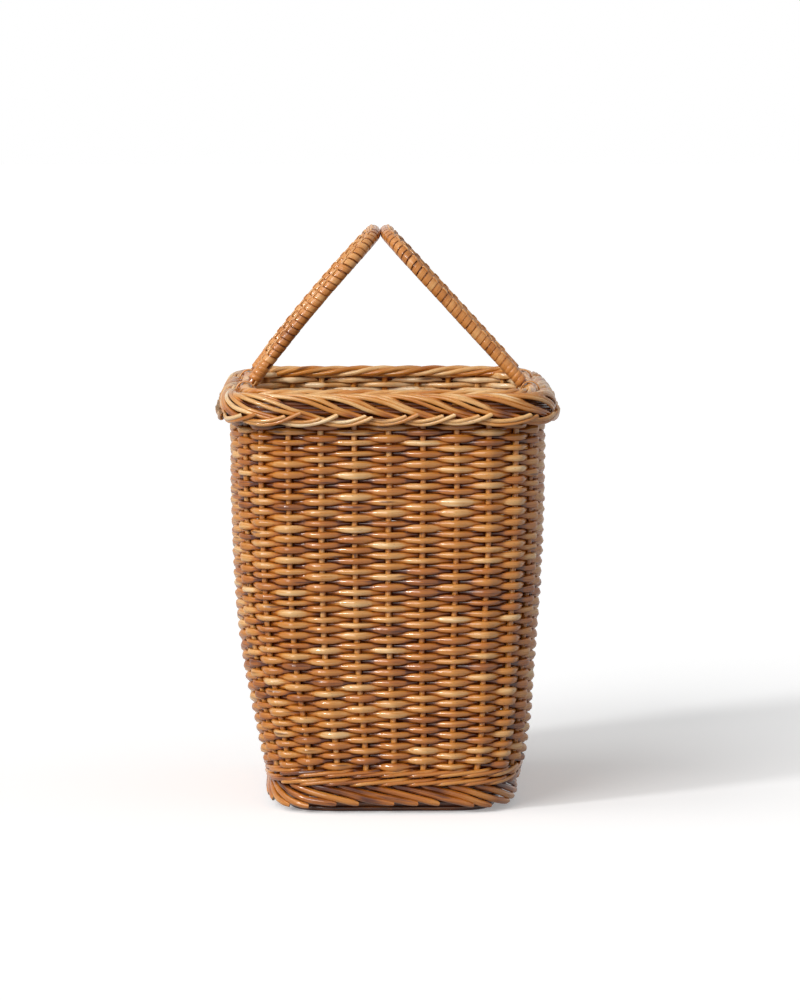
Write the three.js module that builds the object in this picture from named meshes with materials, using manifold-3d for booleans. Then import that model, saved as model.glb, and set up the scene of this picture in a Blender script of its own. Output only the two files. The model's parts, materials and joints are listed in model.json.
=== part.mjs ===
// Open wicker picnic basket with two cane-wrapped swing handles, in millimetres, +Z up.
// X runs across the width and Y along the length, and the short front end faces -Y.
// The origin is on the floor, under the middle of the basket.

import * as THREE from "three";
import { mergeVertices } from "three/addons/utils/BufferGeometryUtils.js";
import Module from "manifold-3d";

const wasm = await Module();
wasm.setup();

// Driving dimensions of the woven body
const RIM_HALF_WIDTH = 130; // outer face of the wall under the border, across
const RIM_HALF_LENGTH = 176; // the same, along the long side
const FLOOR_HALF_WIDTH = 101.6; // outer face of the wall carried down to the floor, across
const FLOOR_HALF_LENGTH = 152.5;
const WALL_TOP = 315.5;
const FLARE_POWER = 2.5; // how soon the flaring wall turns upright
const WALL_SQUARENESS = 5; // power of the rounded plan outline of the wall
const RIM_SQUARENESS = 7; // the same for the border, which has squarer corners
const STAKE_COUNT = 40;
const STAKE_DIAMETER = 5;
const WEAVER_DIAMETER = 4;
const FOOT_HEIGHT = 22.5;
const FOOT_THICKNESS = 21;
const FOOT_CHAMFER = 4;
const WALE_HEIGHT = 7;
const WALE_OUTSET = 1; // how far the wales stand out from the wall
const BASE_THICKNESS = 10;
const BASE_STICK_DIAMETER = 6;
const BASE_STICK_SPACING = 48;
const BASE_STICK_SETBACK = 1.8; // each end of a stick lies this far inside the base's edge

// Driving dimensions of the border
const BORDER_HEIGHT = 18.5;
const BORDER_OVERHANG = 11;
const BORDER_CHAMFER = 5; // under the overhang
const BORDER_OUTER_DROP = 8; // the outer edge lies this far under the border's top
const BORDER_FLAT_TOP = 9; // width of the flat that carries the inner roll
const ROLL_RADIUS = 6;

// Driving dimensions of the handles
const HANDLE_SPACING = 160; // between the two legs of a handle
const HANDLE_TOP = 472.3; // highest point, with the handles leaning on each other
const HANDLE_MEET_LEFT = 5.5; // the handles meet this far to the left of the middle
const HANDLE_BEND = 45; // radius of the hoop's two upper bends
const CORE_RADIUS = 3.6;
const CANE_THICKNESS = 0.9;
const WRAP_TURNS = 24;
const WRAP_GAP = 1.6; // between two turns of the wrap
const LISTING_WIDTH = 4;
const BINDING_LENGTH = 16;
const BINDING_THICKNESS = 2.6;
const EYE_THICKNESS = 2.5;
const EYE_WIDTH = 9;

// Clearances
const CLEARANCE = 0.3; // between pieces that touch
const HINGE_CLEARANCE = 0.7; // between an eye and the roll that it swings on
const NOTCH_CLEARANCE = 0.8; // between an eye and the border around it
const MEET_CLEARANCE = 0.6; // between the two handles at rest

// Facets
const OUTLINE_FINE_STEPS = 1440;
const RING_POINTS = 44;
const CORNER_WEIGHT = 60; // millimetres of outline that a radian of corner counts for
const WALL_LEVELS = 4;
const LEVEL_POWER = 1.6; // the levels crowd towards the floor, where the wall flares most
const ROD_SIDES = 5;
const WALE_SIDES = 6;
const ROLL_SIDES = 8;
const CORE_SIDES = 6;
const HOOP_STEPS = 56;
const LISTING_STEPS = 28;
const SLEEVE_SIDES = 12;
const EYE_SIDES = 20;
const WRAP_STEPS = 8; // in a turn
const SAME_TURN = 0.75; // share of a turn in which sections of the wrap still lie end to end
const WELD_DISTANCE = 1e-4;

// Heights and insets that follow from the sizes above
const wallThickness = STAKE_DIAMETER + 2 * WEAVER_DIAMETER;
const stakeInset = wallThickness / 2;
const stakeRadius = STAKE_DIAMETER / 2;
const lowerWaleBottom = FOOT_HEIGHT + CLEARANCE;
const upperWaleBottom = lowerWaleBottom + WALE_HEIGHT + CLEARANCE;
const wallBottom = upperWaleBottom + WALE_HEIGHT + CLEARANCE;
const baseBottom = FOOT_HEIGHT + CLEARANCE;
const baseInset = stakeInset + stakeRadius + CLEARANCE;
const borderBottom = WALL_TOP + CLEARANCE;
const borderTop = borderBottom + BORDER_HEIGHT;
const rollInset = wallThickness;
const hingeHeight = borderTop + CLEARANCE + ROLL_RADIUS;
const eyeInnerRadius = (ROLL_RADIUS + HINGE_CLEARANCE) / Math.cos(Math.PI / EYE_SIDES);
const eyeOuterRadius = eyeInnerRadius + EYE_THICKNESS;
const wrapInnerRadius = (CORE_RADIUS + CLEARANCE) / Math.cos(Math.PI / WRAP_STEPS);
const wrapOuterRadius = wrapInnerRadius + CANE_THICKNESS;
const bindingBottom = eyeOuterRadius + CLEARANCE;
const bindingTop = bindingBottom + BINDING_LENGTH;
const legBottom = eyeInnerRadius + EYE_THICKNESS / 2;

function material(color, roughness) {
  return new THREE.MeshStandardMaterial({ color, roughness, metalness: 0 });
}

const willow = material(0xb8824c, 0.45);
const paleWillow = material(0xcf9c62, 0.42);
const darkWillow = material(0x9c6534, 0.5);
const cane = material(0xd0a06a, 0.35);

function namedMesh(name, geometry, finish) {
  const mesh = new THREE.Mesh(geometry, finish);
  mesh.name = name;
  return mesh;
}

// Joins and cuts: a closed geometry becomes a solid and comes back as a geometry.
function solidOf(geometry) {
  const bare = geometry.clone();
  bare.deleteAttribute("normal");
  bare.deleteAttribute("uv");
  const merged = mergeVertices(bare, WELD_DISTANCE);
  const vertProperties = new Float32Array(merged.getAttribute("position").array);
  const triVerts = new Uint32Array(merged.getIndex().array);
  return new wasm.Manifold(new wasm.Mesh({ numProp: 3, vertProperties, triVerts }));
}

function geometryOf(solid) {
  const { vertProperties, triVerts } = solid.getMesh();
  const geometry = new THREE.BufferGeometry();
  geometry.setAttribute("position", new THREE.BufferAttribute(vertProperties, 3));
  geometry.setIndex(new THREE.BufferAttribute(triVerts, 1));
  geometry.computeVertexNormals();
  return geometry;
}

function cut(body, tools) {
  const left = tools.reduce((solid, tool) => solid.subtract(solidOf(tool)), solidOf(body));
  return geometryOf(left);
}

function join(pieces) {
  const [first, ...others] = pieces.map(solidOf);
  return geometryOf(others.reduce((solid, other) => solid.add(other), first));
}

// Half sizes of the wall's outer face at a height. It flares quickly from the floor and turns upright.
function wallHalfSizes(z) {
  const rise = THREE.MathUtils.clamp(z / WALL_TOP, 0, 1);
  const flare = 1 - (1 - rise) ** FLARE_POWER;
  const width = THREE.MathUtils.lerp(FLOOR_HALF_WIDTH, RIM_HALF_WIDTH, flare);
  const length = THREE.MathUtils.lerp(FLOOR_HALF_LENGTH, RIM_HALF_LENGTH, flare);
  return { width, length };
}

// A point of the plan outline and its outward normal. Turn 0 is the middle of the front end,
// a quarter turn is the middle of the right side.
function outlineFrame(turn, z, squareness) {
  const { width, length } = wallHalfSizes(z);
  const across = Math.sin(2 * Math.PI * turn);
  const along = -Math.cos(2 * Math.PI * turn);
  const reach = (Math.abs(across) ** squareness + Math.abs(along) ** squareness) ** (-1 / squareness);
  const point = new THREE.Vector3(width * reach * across, length * reach * along, z);
  const normalX = Math.sign(across) * Math.abs(reach * across) ** (squareness - 1) / width;
  const normalY = Math.sign(along) * Math.abs(reach * along) ** (squareness - 1) / length;
  const normal = new THREE.Vector3(normalX, normalY, 0).normalize();
  return { point, normal };
}

function outlinePoint(turn, z, outset, squareness) {
  const { point, normal } = outlineFrame(turn, z, squareness);
  return point.addScaledVector(normal, outset);
}

// Turns spread evenly around the outline by the length walked, plus a share for the corners' bend.
function spreadTurns(count, bendWeight) {
  const walked = [0];
  let last = outlineFrame(0, WALL_TOP, WALL_SQUARENESS);
  for (let step = 1; step <= OUTLINE_FINE_STEPS; step += 1) {
    const next = outlineFrame(step / OUTLINE_FINE_STEPS, WALL_TOP, WALL_SQUARENESS);
    const length = next.point.distanceTo(last.point);
    const bend = next.normal.angleTo(last.normal);
    walked.push(walked[step - 1] + length + bendWeight * bend);
    last = next;
  }
  const turns = [];
  let step = 0;
  for (let index = 0; index < count; index += 1) {
    const wanted = walked[OUTLINE_FINE_STEPS] * index / count;
    while (walked[step + 1] < wanted) {
      step += 1;
    }
    const share = (wanted - walked[step]) / (walked[step + 1] - walked[step]);
    turns.push((step + share) / OUTLINE_FINE_STEPS);
  }
  return turns;
}

const stakeTurns = spreadTurns(STAKE_COUNT, 0);
const ringTurns = spreadTurns(RING_POINTS, CORNER_WEIGHT);
const weaveTurns = spreadTurns(2 * STAKE_COUNT, 0); // each stake, and midway between two

// A lathe of a profile of [outset, height] points, laid along the outline instead of a circle.
// An outset of null is the axis. Relief changes the outset from step to step around the outline.
function latheOnOutline(profile, squareness, turns, relief) {
  const flat = profile.map(([outset, z]) => new THREE.Vector2(RIM_HALF_WIDTH + (outset ?? 0), z));
  const geometry = new THREE.LatheGeometry(flat, turns.length);
  const position = geometry.getAttribute("position");
  for (let step = 0; step <= turns.length; step += 1) {
    const turn = turns[step % turns.length];
    profile.forEach(([outset, z], row) => {
      const axisPoint = new THREE.Vector3(0, 0, z);
      const point = outset === null ? axisPoint : outlinePoint(turn, z, relief(outset, step), squareness);
      position.setXYZ(step * profile.length + row, point.x, point.y, point.z);
    });
  }
  geometry.computeVertexNormals();
  return geometry;
}

function evenRelief(outset) {
  return outset;
}

// A ring whose profile closes on itself.
function ring(profile, squareness, turns = ringTurns, relief = evenRelief) {
  return latheOnOutline([...profile, profile[0]], squareness, turns, relief);
}

function roundProfile(outset, z, halfWidth, halfHeight, sides) {
  return Array.from({ length: sides }, (_, index) => {
    const angle = 2 * Math.PI * index / sides;
    return [outset + halfWidth * Math.cos(angle), z + halfHeight * Math.sin(angle)];
  });
}

// Heights from one end of the wall to the other, crowded towards the floor.
function levelHeight(bottom, top, share) {
  return THREE.MathUtils.lerp(bottom, top, share ** LEVEL_POWER);
}

// A rod that follows the wall upward at one turn, with level ends.
function uprightRod(turn, radius, bottom, top) {
  const geometry = new THREE.CylinderGeometry(radius, radius, 1, ROD_SIDES, WALL_LEVELS);
  geometry.rotateX(Math.PI / 2);
  const position = geometry.getAttribute("position");
  for (let index = 0; index < position.count; index += 1) {
    const z = levelHeight(bottom, top, position.getZ(index) + 0.5);
    const { point, normal } = outlineFrame(turn, z, WALL_SQUARENESS);
    const outward = position.getX(index) - stakeInset;
    const sideways = position.getY(index);
    const x = point.x + outward * normal.x - sideways * normal.y;
    const y = point.y + outward * normal.y + sideways * normal.x;
    position.setXYZ(index, x, y, z);
  }
  geometry.computeVertexNormals();
  return geometry;
}

// Foot border: the ring of laid-down rod ends that the basket stands on.
function footBorder() {
  const profile = [
    [-FOOT_THICKNESS + FOOT_CHAMFER, 0],
    [-FOOT_CHAMFER, 0],
    [0, FOOT_CHAMFER],
    [0, FOOT_HEIGHT],
    [-FOOT_THICKNESS, FOOT_HEIGHT],
    [-FOOT_THICKNESS, FOOT_CHAMFER],
  ];
  return ring(profile, WALL_SQUARENESS);
}

// A wale: a twisted round of rods that grips the stakes from outside, just above the foot.
function wale(bottom) {
  const innerFace = stakeRadius + CLEARANCE - stakeInset;
  const middle = (WALE_OUTSET + innerFace) / 2;
  const halfWidth = (WALE_OUTSET - innerFace) / 2;
  const middleHeight = bottom + WALE_HEIGHT / 2;
  const halfHeight = WALE_HEIGHT / 2 / Math.sin(2 * Math.PI / WALE_SIDES);
  const profile = roundProfile(middle, middleHeight, halfWidth, halfHeight, WALE_SIDES);
  return ring(profile, WALL_SQUARENESS);
}

// Between two stakes the weavers of neighbouring rows cross, so there the wall is one weaver thick.
function weaveRelief(outset, step) {
  const atStake = step % 2 === 0;
  const share = atStake ? 1 : WEAVER_DIAMETER / wallThickness;
  return -stakeInset + (outset + stakeInset) * share;
}

// Woven wall: a flared shell that swells over each stake, with a channel for the stake.
function wallWeave() {
  const heights = Array.from({ length: WALL_LEVELS + 1 }, (_, level) =>
    levelHeight(wallBottom, WALL_TOP, level / WALL_LEVELS));
  const outer = heights.map((z) => [0, z]);
  const inner = heights.map((z) => [-wallThickness, z]).reverse();
  const shell = ring([...outer, ...inner], WALL_SQUARENESS, weaveTurns, weaveRelief);
  const channelRadius = stakeRadius + CLEARANCE / Math.cos(Math.PI / ROD_SIDES);
  const channels = stakeTurns.map((turn) =>
    uprightRod(turn, channelRadius, wallBottom - STAKE_DIAMETER, WALL_TOP + STAKE_DIAMETER));
  return cut(shell, channels);
}

// Base: a woven slab on the foot border, with lengthwise sticks inside it.
const baseMiddle = baseBottom + BASE_THICKNESS / 2;
const baseStickPlaces = [-BASE_STICK_SPACING, 0, BASE_STICK_SPACING];

function lengthwiseRod(x, radius, length) {
  return new THREE.CylinderGeometry(radius, radius, length, ROD_SIDES).translate(x, 0, baseMiddle);
}

function baseStickLength(x) {
  const { width, length } = wallHalfSizes(baseBottom);
  const share = 1 - (Math.abs(x) / (width - baseInset)) ** WALL_SQUARENESS;
  const halfBase = (length - baseInset) * share ** (1 / WALL_SQUARENESS);
  return 2 * (halfBase - BASE_STICK_SETBACK);
}

function wovenBase() {
  const profile = [
    [null, baseBottom],
    [-baseInset, baseBottom],
    [-baseInset, baseBottom + BASE_THICKNESS],
    [null, baseBottom + BASE_THICKNESS],
  ];
  const channelRadius = BASE_STICK_DIAMETER / 2 + CLEARANCE / Math.cos(Math.PI / ROD_SIDES);
  const channels = baseStickPlaces.map((x) => lengthwiseRod(x, channelRadius, 2 * RIM_HALF_LENGTH));
  return cut(latheOnOutline(profile, WALL_SQUARENESS, ringTurns, evenRelief), channels);
}

// Hinge line of the handles: the long sides of the roll, seen from above.
function rollAcross(y) {
  const share = 1 - (Math.abs(y) / (RIM_HALF_LENGTH - rollInset)) ** RIM_SQUARENESS;
  return (RIM_HALF_WIDTH - rollInset) * share ** (1 / RIM_SQUARENESS);
}

const legPlaces = [-HANDLE_SPACING / 2, HANDLE_SPACING / 2];
const hingeAcross = rollAcross(HANDLE_SPACING / 2);

// Plaited border: the overhanging ring on the wall, notched where the handles' eyes pass.
function rimPlait() {
  const profile = [
    [-wallThickness, borderBottom],
    [BORDER_OVERHANG - BORDER_CHAMFER, borderBottom],
    [BORDER_OVERHANG, borderBottom + BORDER_CHAMFER],
    [BORDER_OVERHANG, borderTop - BORDER_OUTER_DROP],
    [BORDER_FLAT_TOP - wallThickness, borderTop],
    [-wallThickness, borderTop],
  ];
  const notchRadius = (eyeOuterRadius + NOTCH_CLEARANCE) / Math.cos(Math.PI / EYE_SIDES);
  const notchWidth = EYE_WIDTH + 2 * NOTCH_CLEARANCE;
  const notch = (x, y) => {
    const drum = new THREE.CylinderGeometry(notchRadius, notchRadius, notchWidth, EYE_SIDES);
    return drum.translate(x, y, hingeHeight);
  };
  const notches = [-hingeAcross, hingeAcross].flatMap((x) => legPlaces.map((y) => notch(x, y)));
  return cut(ring(profile, RIM_SQUARENESS), notches);
}

// Inner roll: the round of rods along the border's top that the handles swing on.
function rimRoll() {
  const profile = roundProfile(-rollInset, hingeHeight, ROLL_RADIUS, ROLL_RADIUS, ROLL_SIDES);
  return ring(profile, RIM_SQUARENESS);
}

// Centre line of a handle's hoop, in the handle's own frame: the hinge line is Y and the legs rise along Z.
class HoopCurve extends THREE.Curve {
  constructor(reach) {
    super();
    this.reach = reach;
    this.legRun = reach - HANDLE_BEND - legBottom;
    this.bendRun = HANDLE_BEND * Math.PI / 2;
    this.run = 2 * (this.legRun + this.bendRun) + HANDLE_SPACING - 2 * HANDLE_BEND;
  }

  getPoint(t, target = new THREE.Vector3()) {
    const walked = Math.min(t, 1 - t) * this.run;
    const side = t < 0.5 ? -1 : 1;
    if (walked < this.legRun) {
      return target.set(0, side * HANDLE_SPACING / 2, legBottom + walked);
    }
    const bend = Math.min((walked - this.legRun) / HANDLE_BEND, Math.PI / 2);
    const onGrip = Math.max(walked - this.legRun - this.bendRun, 0);
    const inward = HANDLE_BEND * (1 - Math.cos(bend)) + onGrip;
    const rise = HANDLE_BEND * Math.sin(bend);
    return target.set(0, side * (HANDLE_SPACING / 2 - inward), this.reach - HANDLE_BEND + rise);
  }
}

// A point beside the hoop: outward along X and sideways in the hoop's plane.
function besideHoop(hoop, walked, outward, sideways) {
  const t = walked / hoop.run;
  const tangent = hoop.getTangent(t);
  const across = new THREE.Vector3(1, 0, 0);
  const within = new THREE.Vector3().crossVectors(tangent, across);
  return hoop.getPoint(t).addScaledVector(across, outward).addScaledVector(within, sideways);
}

// A solid band through sections of two rows of points. Along the path, a section's inner row,
// then its outer row backwards, goes round against the clock.
function band(sections) {
  const rowLength = sections[0].inner.length;
  const loop = 2 * rowLength;
  const corners = sections.flatMap(({ inner, outer }) => [...inner, ...outer.toReversed()]);
  const triangles = [];
  for (let section = 0; section < sections.length - 1; section += 1) {
    for (let corner = 0; corner < loop; corner += 1) {
      const a = loop * section + corner;
      const b = loop * section + (corner + 1) % loop;
      triangles.push(a, b, b + loop, a, b + loop, a + loop);
    }
  }
  const last = loop * (sections.length - 1);
  for (let near = 0; near < rowLength - 1; near += 1) {
    const far = loop - 1 - near;
    triangles.push(near, far, near + 1, near + 1, far, far - 1);
    triangles.push(last + near, last + near + 1, last + far, last + near + 1, last + far - 1, last + far);
  }
  const geometry = new THREE.BufferGeometry();
  const positions = corners.flatMap((corner) => corner.toArray());
  geometry.setAttribute("position", new THREE.Float32BufferAttribute(positions, 3));
  geometry.setIndex(triangles);
  geometry.computeVertexNormals();
  return geometry;
}

// The stretch of the hoop between the two foot bindings.
function wrappedStretch(hoop) {
  const start = bindingTop + CLEARANCE - legBottom;
  return { start, end: hoop.run - start };
}

// Sections of the cane wrap: one unbroken flat strip that winds round the core.
function wrapSections(hoop) {
  const { start, end } = wrappedStretch(hoop);
  const pitch = (end - start + WRAP_GAP) / (WRAP_TURNS + 1);
  const width = pitch - WRAP_GAP;
  return Array.from({ length: WRAP_TURNS * WRAP_STEPS + 1 }, (_, step) => {
    const angle = 2 * Math.PI * step / WRAP_STEPS;
    const near = start + pitch * step / WRAP_STEPS;
    const stripPlaces = [near, near + width / 2, near + width];
    const row = (radius) => stripPlaces.map((walked) =>
      besideHoop(hoop, walked, radius * Math.cos(angle), radius * Math.sin(angle)));
    return { inner: row(wrapInnerRadius), outer: row(wrapOuterRadius) };
  });
}

// Least distance between points of two turns that lie side by side.
function leastTurnGap(sections) {
  const points = sections.map(({ inner, outer }) => [...inner, ...outer]);
  const firstNeighbour = Math.round(SAME_TURN * WRAP_STEPS);
  let least = Infinity;
  for (let one = 0; one < sections.length; one += 1) {
    for (let other = one + firstNeighbour; other < sections.length; other += 1) {
      for (const corner of points[one]) {
        for (const facing of points[other]) {
          least = Math.min(least, corner.distanceTo(facing));
        }
      }
    }
  }
  return least;
}

// Listing: the lengthwise strip on the hoop's outer face, over the wrap.
function listing(hoop, outerSide) {
  const { start, end } = wrappedStretch(hoop);
  const floor = wrapOuterRadius + CLEARANCE;
  const faces = [outerSide * floor, outerSide * (floor + CANE_THICKNESS)].sort((a, b) => a - b);
  const sections = Array.from({ length: LISTING_STEPS + 1 }, (_, step) => {
    const walked = THREE.MathUtils.lerp(start, end, step / LISTING_STEPS);
    const half = LISTING_WIDTH / 2;
    const row = (sideways) => faces.map((outward) => besideHoop(hoop, walked, outward, sideways));
    return { inner: row(-half), outer: row(half) };
  });
  return band(sections);
}

function polygonShape(radius, sides) {
  const corners = Array.from({ length: sides }, (_, index) => {
    const angle = 2 * Math.PI * index / sides;
    return new THREE.Vector2(radius * Math.cos(angle), radius * Math.sin(angle));
  });
  return new THREE.Shape(corners);
}

function sleeve(innerRadius, outerRadius, bottom, top, sides) {
  const profile = [
    new THREE.Vector2(innerRadius, bottom),
    new THREE.Vector2(outerRadius, bottom),
    new THREE.Vector2(outerRadius, top),
    new THREE.Vector2(innerRadius, top),
    new THREE.Vector2(innerRadius, bottom),
  ];
  return new THREE.LatheGeometry(profile, sides);
}

// Core: the bent rod of the hoop with an eye at each foot, round the roll.
function handleCore(hoop) {
  const section = polygonShape(CORE_RADIUS, CORE_SIDES);
  const rod = new THREE.ExtrudeGeometry(section, { steps: HOOP_STEPS, extrudePath: hoop });
  const eyes = legPlaces.map((y) =>
    sleeve(eyeInnerRadius, eyeOuterRadius, -EYE_WIDTH / 2, EYE_WIDTH / 2, EYE_SIDES).translate(0, y, 0));
  return join([rod, ...eyes]);
}

function footBinding(y) {
  const bore = (CORE_RADIUS + CLEARANCE) / Math.cos(Math.PI / SLEEVE_SIDES);
  const upright = sleeve(bore, CORE_RADIUS + BINDING_THICKNESS, bindingBottom, bindingTop, SLEEVE_SIDES);
  return upright.rotateX(Math.PI / 2).translate(0, y, 0);
}

// A handle, leaning in from its hinge line until it meets the other one. Side is -1 on the left.
function handle(name, side) {
  const across = hingeAcross + side * HANDLE_MEET_LEFT - wrapOuterRadius - MEET_CLEARANCE / 2;
  const rise = HANDLE_TOP - wrapOuterRadius - hingeHeight;
  const hoop = new HoopCurve(Math.hypot(across, rise));
  const sections = wrapSections(hoop);
  console.log(`${name}_wrap: least gap between its turns ${leastTurnGap(sections).toFixed(2)} mm`);
  const group = new THREE.Group();
  group.add(namedMesh(`${name}_core`, handleCore(hoop), willow));
  group.add(namedMesh(`${name}_wrap`, band(sections), cane));
  group.add(namedMesh(`${name}_listing`, listing(hoop, side), cane));
  group.add(namedMesh(`${name}_foot_binding_front`, footBinding(legPlaces[0]), cane));
  group.add(namedMesh(`${name}_foot_binding_back`, footBinding(legPlaces[1]), cane));
  group.position.set(side * hingeAcross, 0, hingeHeight);
  group.rotation.y = -side * Math.atan2(across, rise);
  console.log(`${name}: leans in ${THREE.MathUtils.radToDeg(Math.atan2(across, rise)).toFixed(2)} degrees`);
  return group;
}

const basket = new THREE.Group();
basket.add(namedMesh("foot_border", footBorder(), darkWillow));
basket.add(namedMesh("lower_wale", wale(lowerWaleBottom), darkWillow));
basket.add(namedMesh("upper_wale", wale(upperWaleBottom), darkWillow));
basket.add(namedMesh("woven_base", wovenBase(), willow));
baseStickPlaces.forEach((x, index) => {
  const stick = lengthwiseRod(x, BASE_STICK_DIAMETER / 2, baseStickLength(x));
  basket.add(namedMesh(`base_stick_${index + 1}`, stick, paleWillow));
});
stakeTurns.forEach((turn, index) => {
  const stake = uprightRod(turn, stakeRadius, FOOT_HEIGHT + CLEARANCE, WALL_TOP);
  basket.add(namedMesh(`stake_${String(index + 1).padStart(2, "0")}`, stake, paleWillow));
});
basket.add(namedMesh("wall_weave", wallWeave(), willow));
basket.add(namedMesh("rim_plait", rimPlait(), paleWillow));
basket.add(namedMesh("rim_roll", rimRoll(), paleWillow));
console.log(`hinge lines at x = ${hingeAcross.toFixed(3)}, z = ${hingeHeight.toFixed(3)} mm`);

const picnicBasket = new THREE.Group();
picnicBasket.add(basket, handle("handle_left", -1), handle("handle_right", 1));

export default picnicBasket;
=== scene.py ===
"""Looks of the wicker picnic basket: every willow rod and cane strip is swept as its own mesh.

Lengths are in metres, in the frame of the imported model: +Z up, the short front end faces -Y.
Places round the basket are given in stakes: stake 0 is the middle of the front end, and the
count grows to the right as seen from the front.
"""

import json
import logging
import math
from dataclasses import dataclass, field
from enum import Enum
from functools import cached_property

import bpy
import numpy as np
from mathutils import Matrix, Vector


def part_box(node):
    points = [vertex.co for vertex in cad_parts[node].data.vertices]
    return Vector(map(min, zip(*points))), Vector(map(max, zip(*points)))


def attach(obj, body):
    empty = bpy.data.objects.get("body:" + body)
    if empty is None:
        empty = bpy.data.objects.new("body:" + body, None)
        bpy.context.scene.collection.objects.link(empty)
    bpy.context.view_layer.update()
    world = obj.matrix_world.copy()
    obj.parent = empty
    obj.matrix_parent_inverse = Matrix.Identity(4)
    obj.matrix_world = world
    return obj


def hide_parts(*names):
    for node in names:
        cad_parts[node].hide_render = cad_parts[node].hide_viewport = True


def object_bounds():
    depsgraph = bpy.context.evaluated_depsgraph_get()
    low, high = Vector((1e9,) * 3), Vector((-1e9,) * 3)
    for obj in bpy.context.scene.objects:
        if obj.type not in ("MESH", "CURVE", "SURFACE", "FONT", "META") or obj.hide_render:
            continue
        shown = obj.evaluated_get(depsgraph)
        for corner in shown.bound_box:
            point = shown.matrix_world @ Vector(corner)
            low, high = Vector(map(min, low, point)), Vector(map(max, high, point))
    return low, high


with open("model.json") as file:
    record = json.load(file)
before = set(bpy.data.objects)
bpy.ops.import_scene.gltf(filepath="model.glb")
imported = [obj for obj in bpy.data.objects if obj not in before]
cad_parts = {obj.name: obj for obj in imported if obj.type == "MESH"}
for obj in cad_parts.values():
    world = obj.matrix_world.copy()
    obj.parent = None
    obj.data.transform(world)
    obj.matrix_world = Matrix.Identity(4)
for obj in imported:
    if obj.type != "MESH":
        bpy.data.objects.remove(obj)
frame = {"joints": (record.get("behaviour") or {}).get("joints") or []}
cad_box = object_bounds()

Array = np.ndarray
Pair = tuple[Array, Array]
Triple = tuple[float, float, float]
Random = np.random.Generator
Material = bpy.types.Material
Socket = bpy.types.NodeSocket
Fed = Socket | float | tuple[float, ...]

LOG = logging.getLogger("picnic_basket")
MM = 0.001
STAKE_COUNT = 40
WALL_SQUARENESS = 5
RIM_SQUARENESS = 7
STAKE_INSET = 6.5 * MM
ROW_PITCH = 4.335 * MM
GRAIN_STEP = 0.73  # run of grain between two rods of a piece, so that no two look alike
BASKET_BODY = "basket"
FOOT_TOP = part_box("foot_border")[1].z


class Slot(Enum):
    """Material slots of the record."""

    WEAVE = "willow_weave"
    STAKES = "willow_stakes"
    BORDER = "willow_border"
    FOOT = "willow_foot"
    HANDLE_ROD = "handle_willow"
    HANDLE_CANE = "handle_cane"


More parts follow.
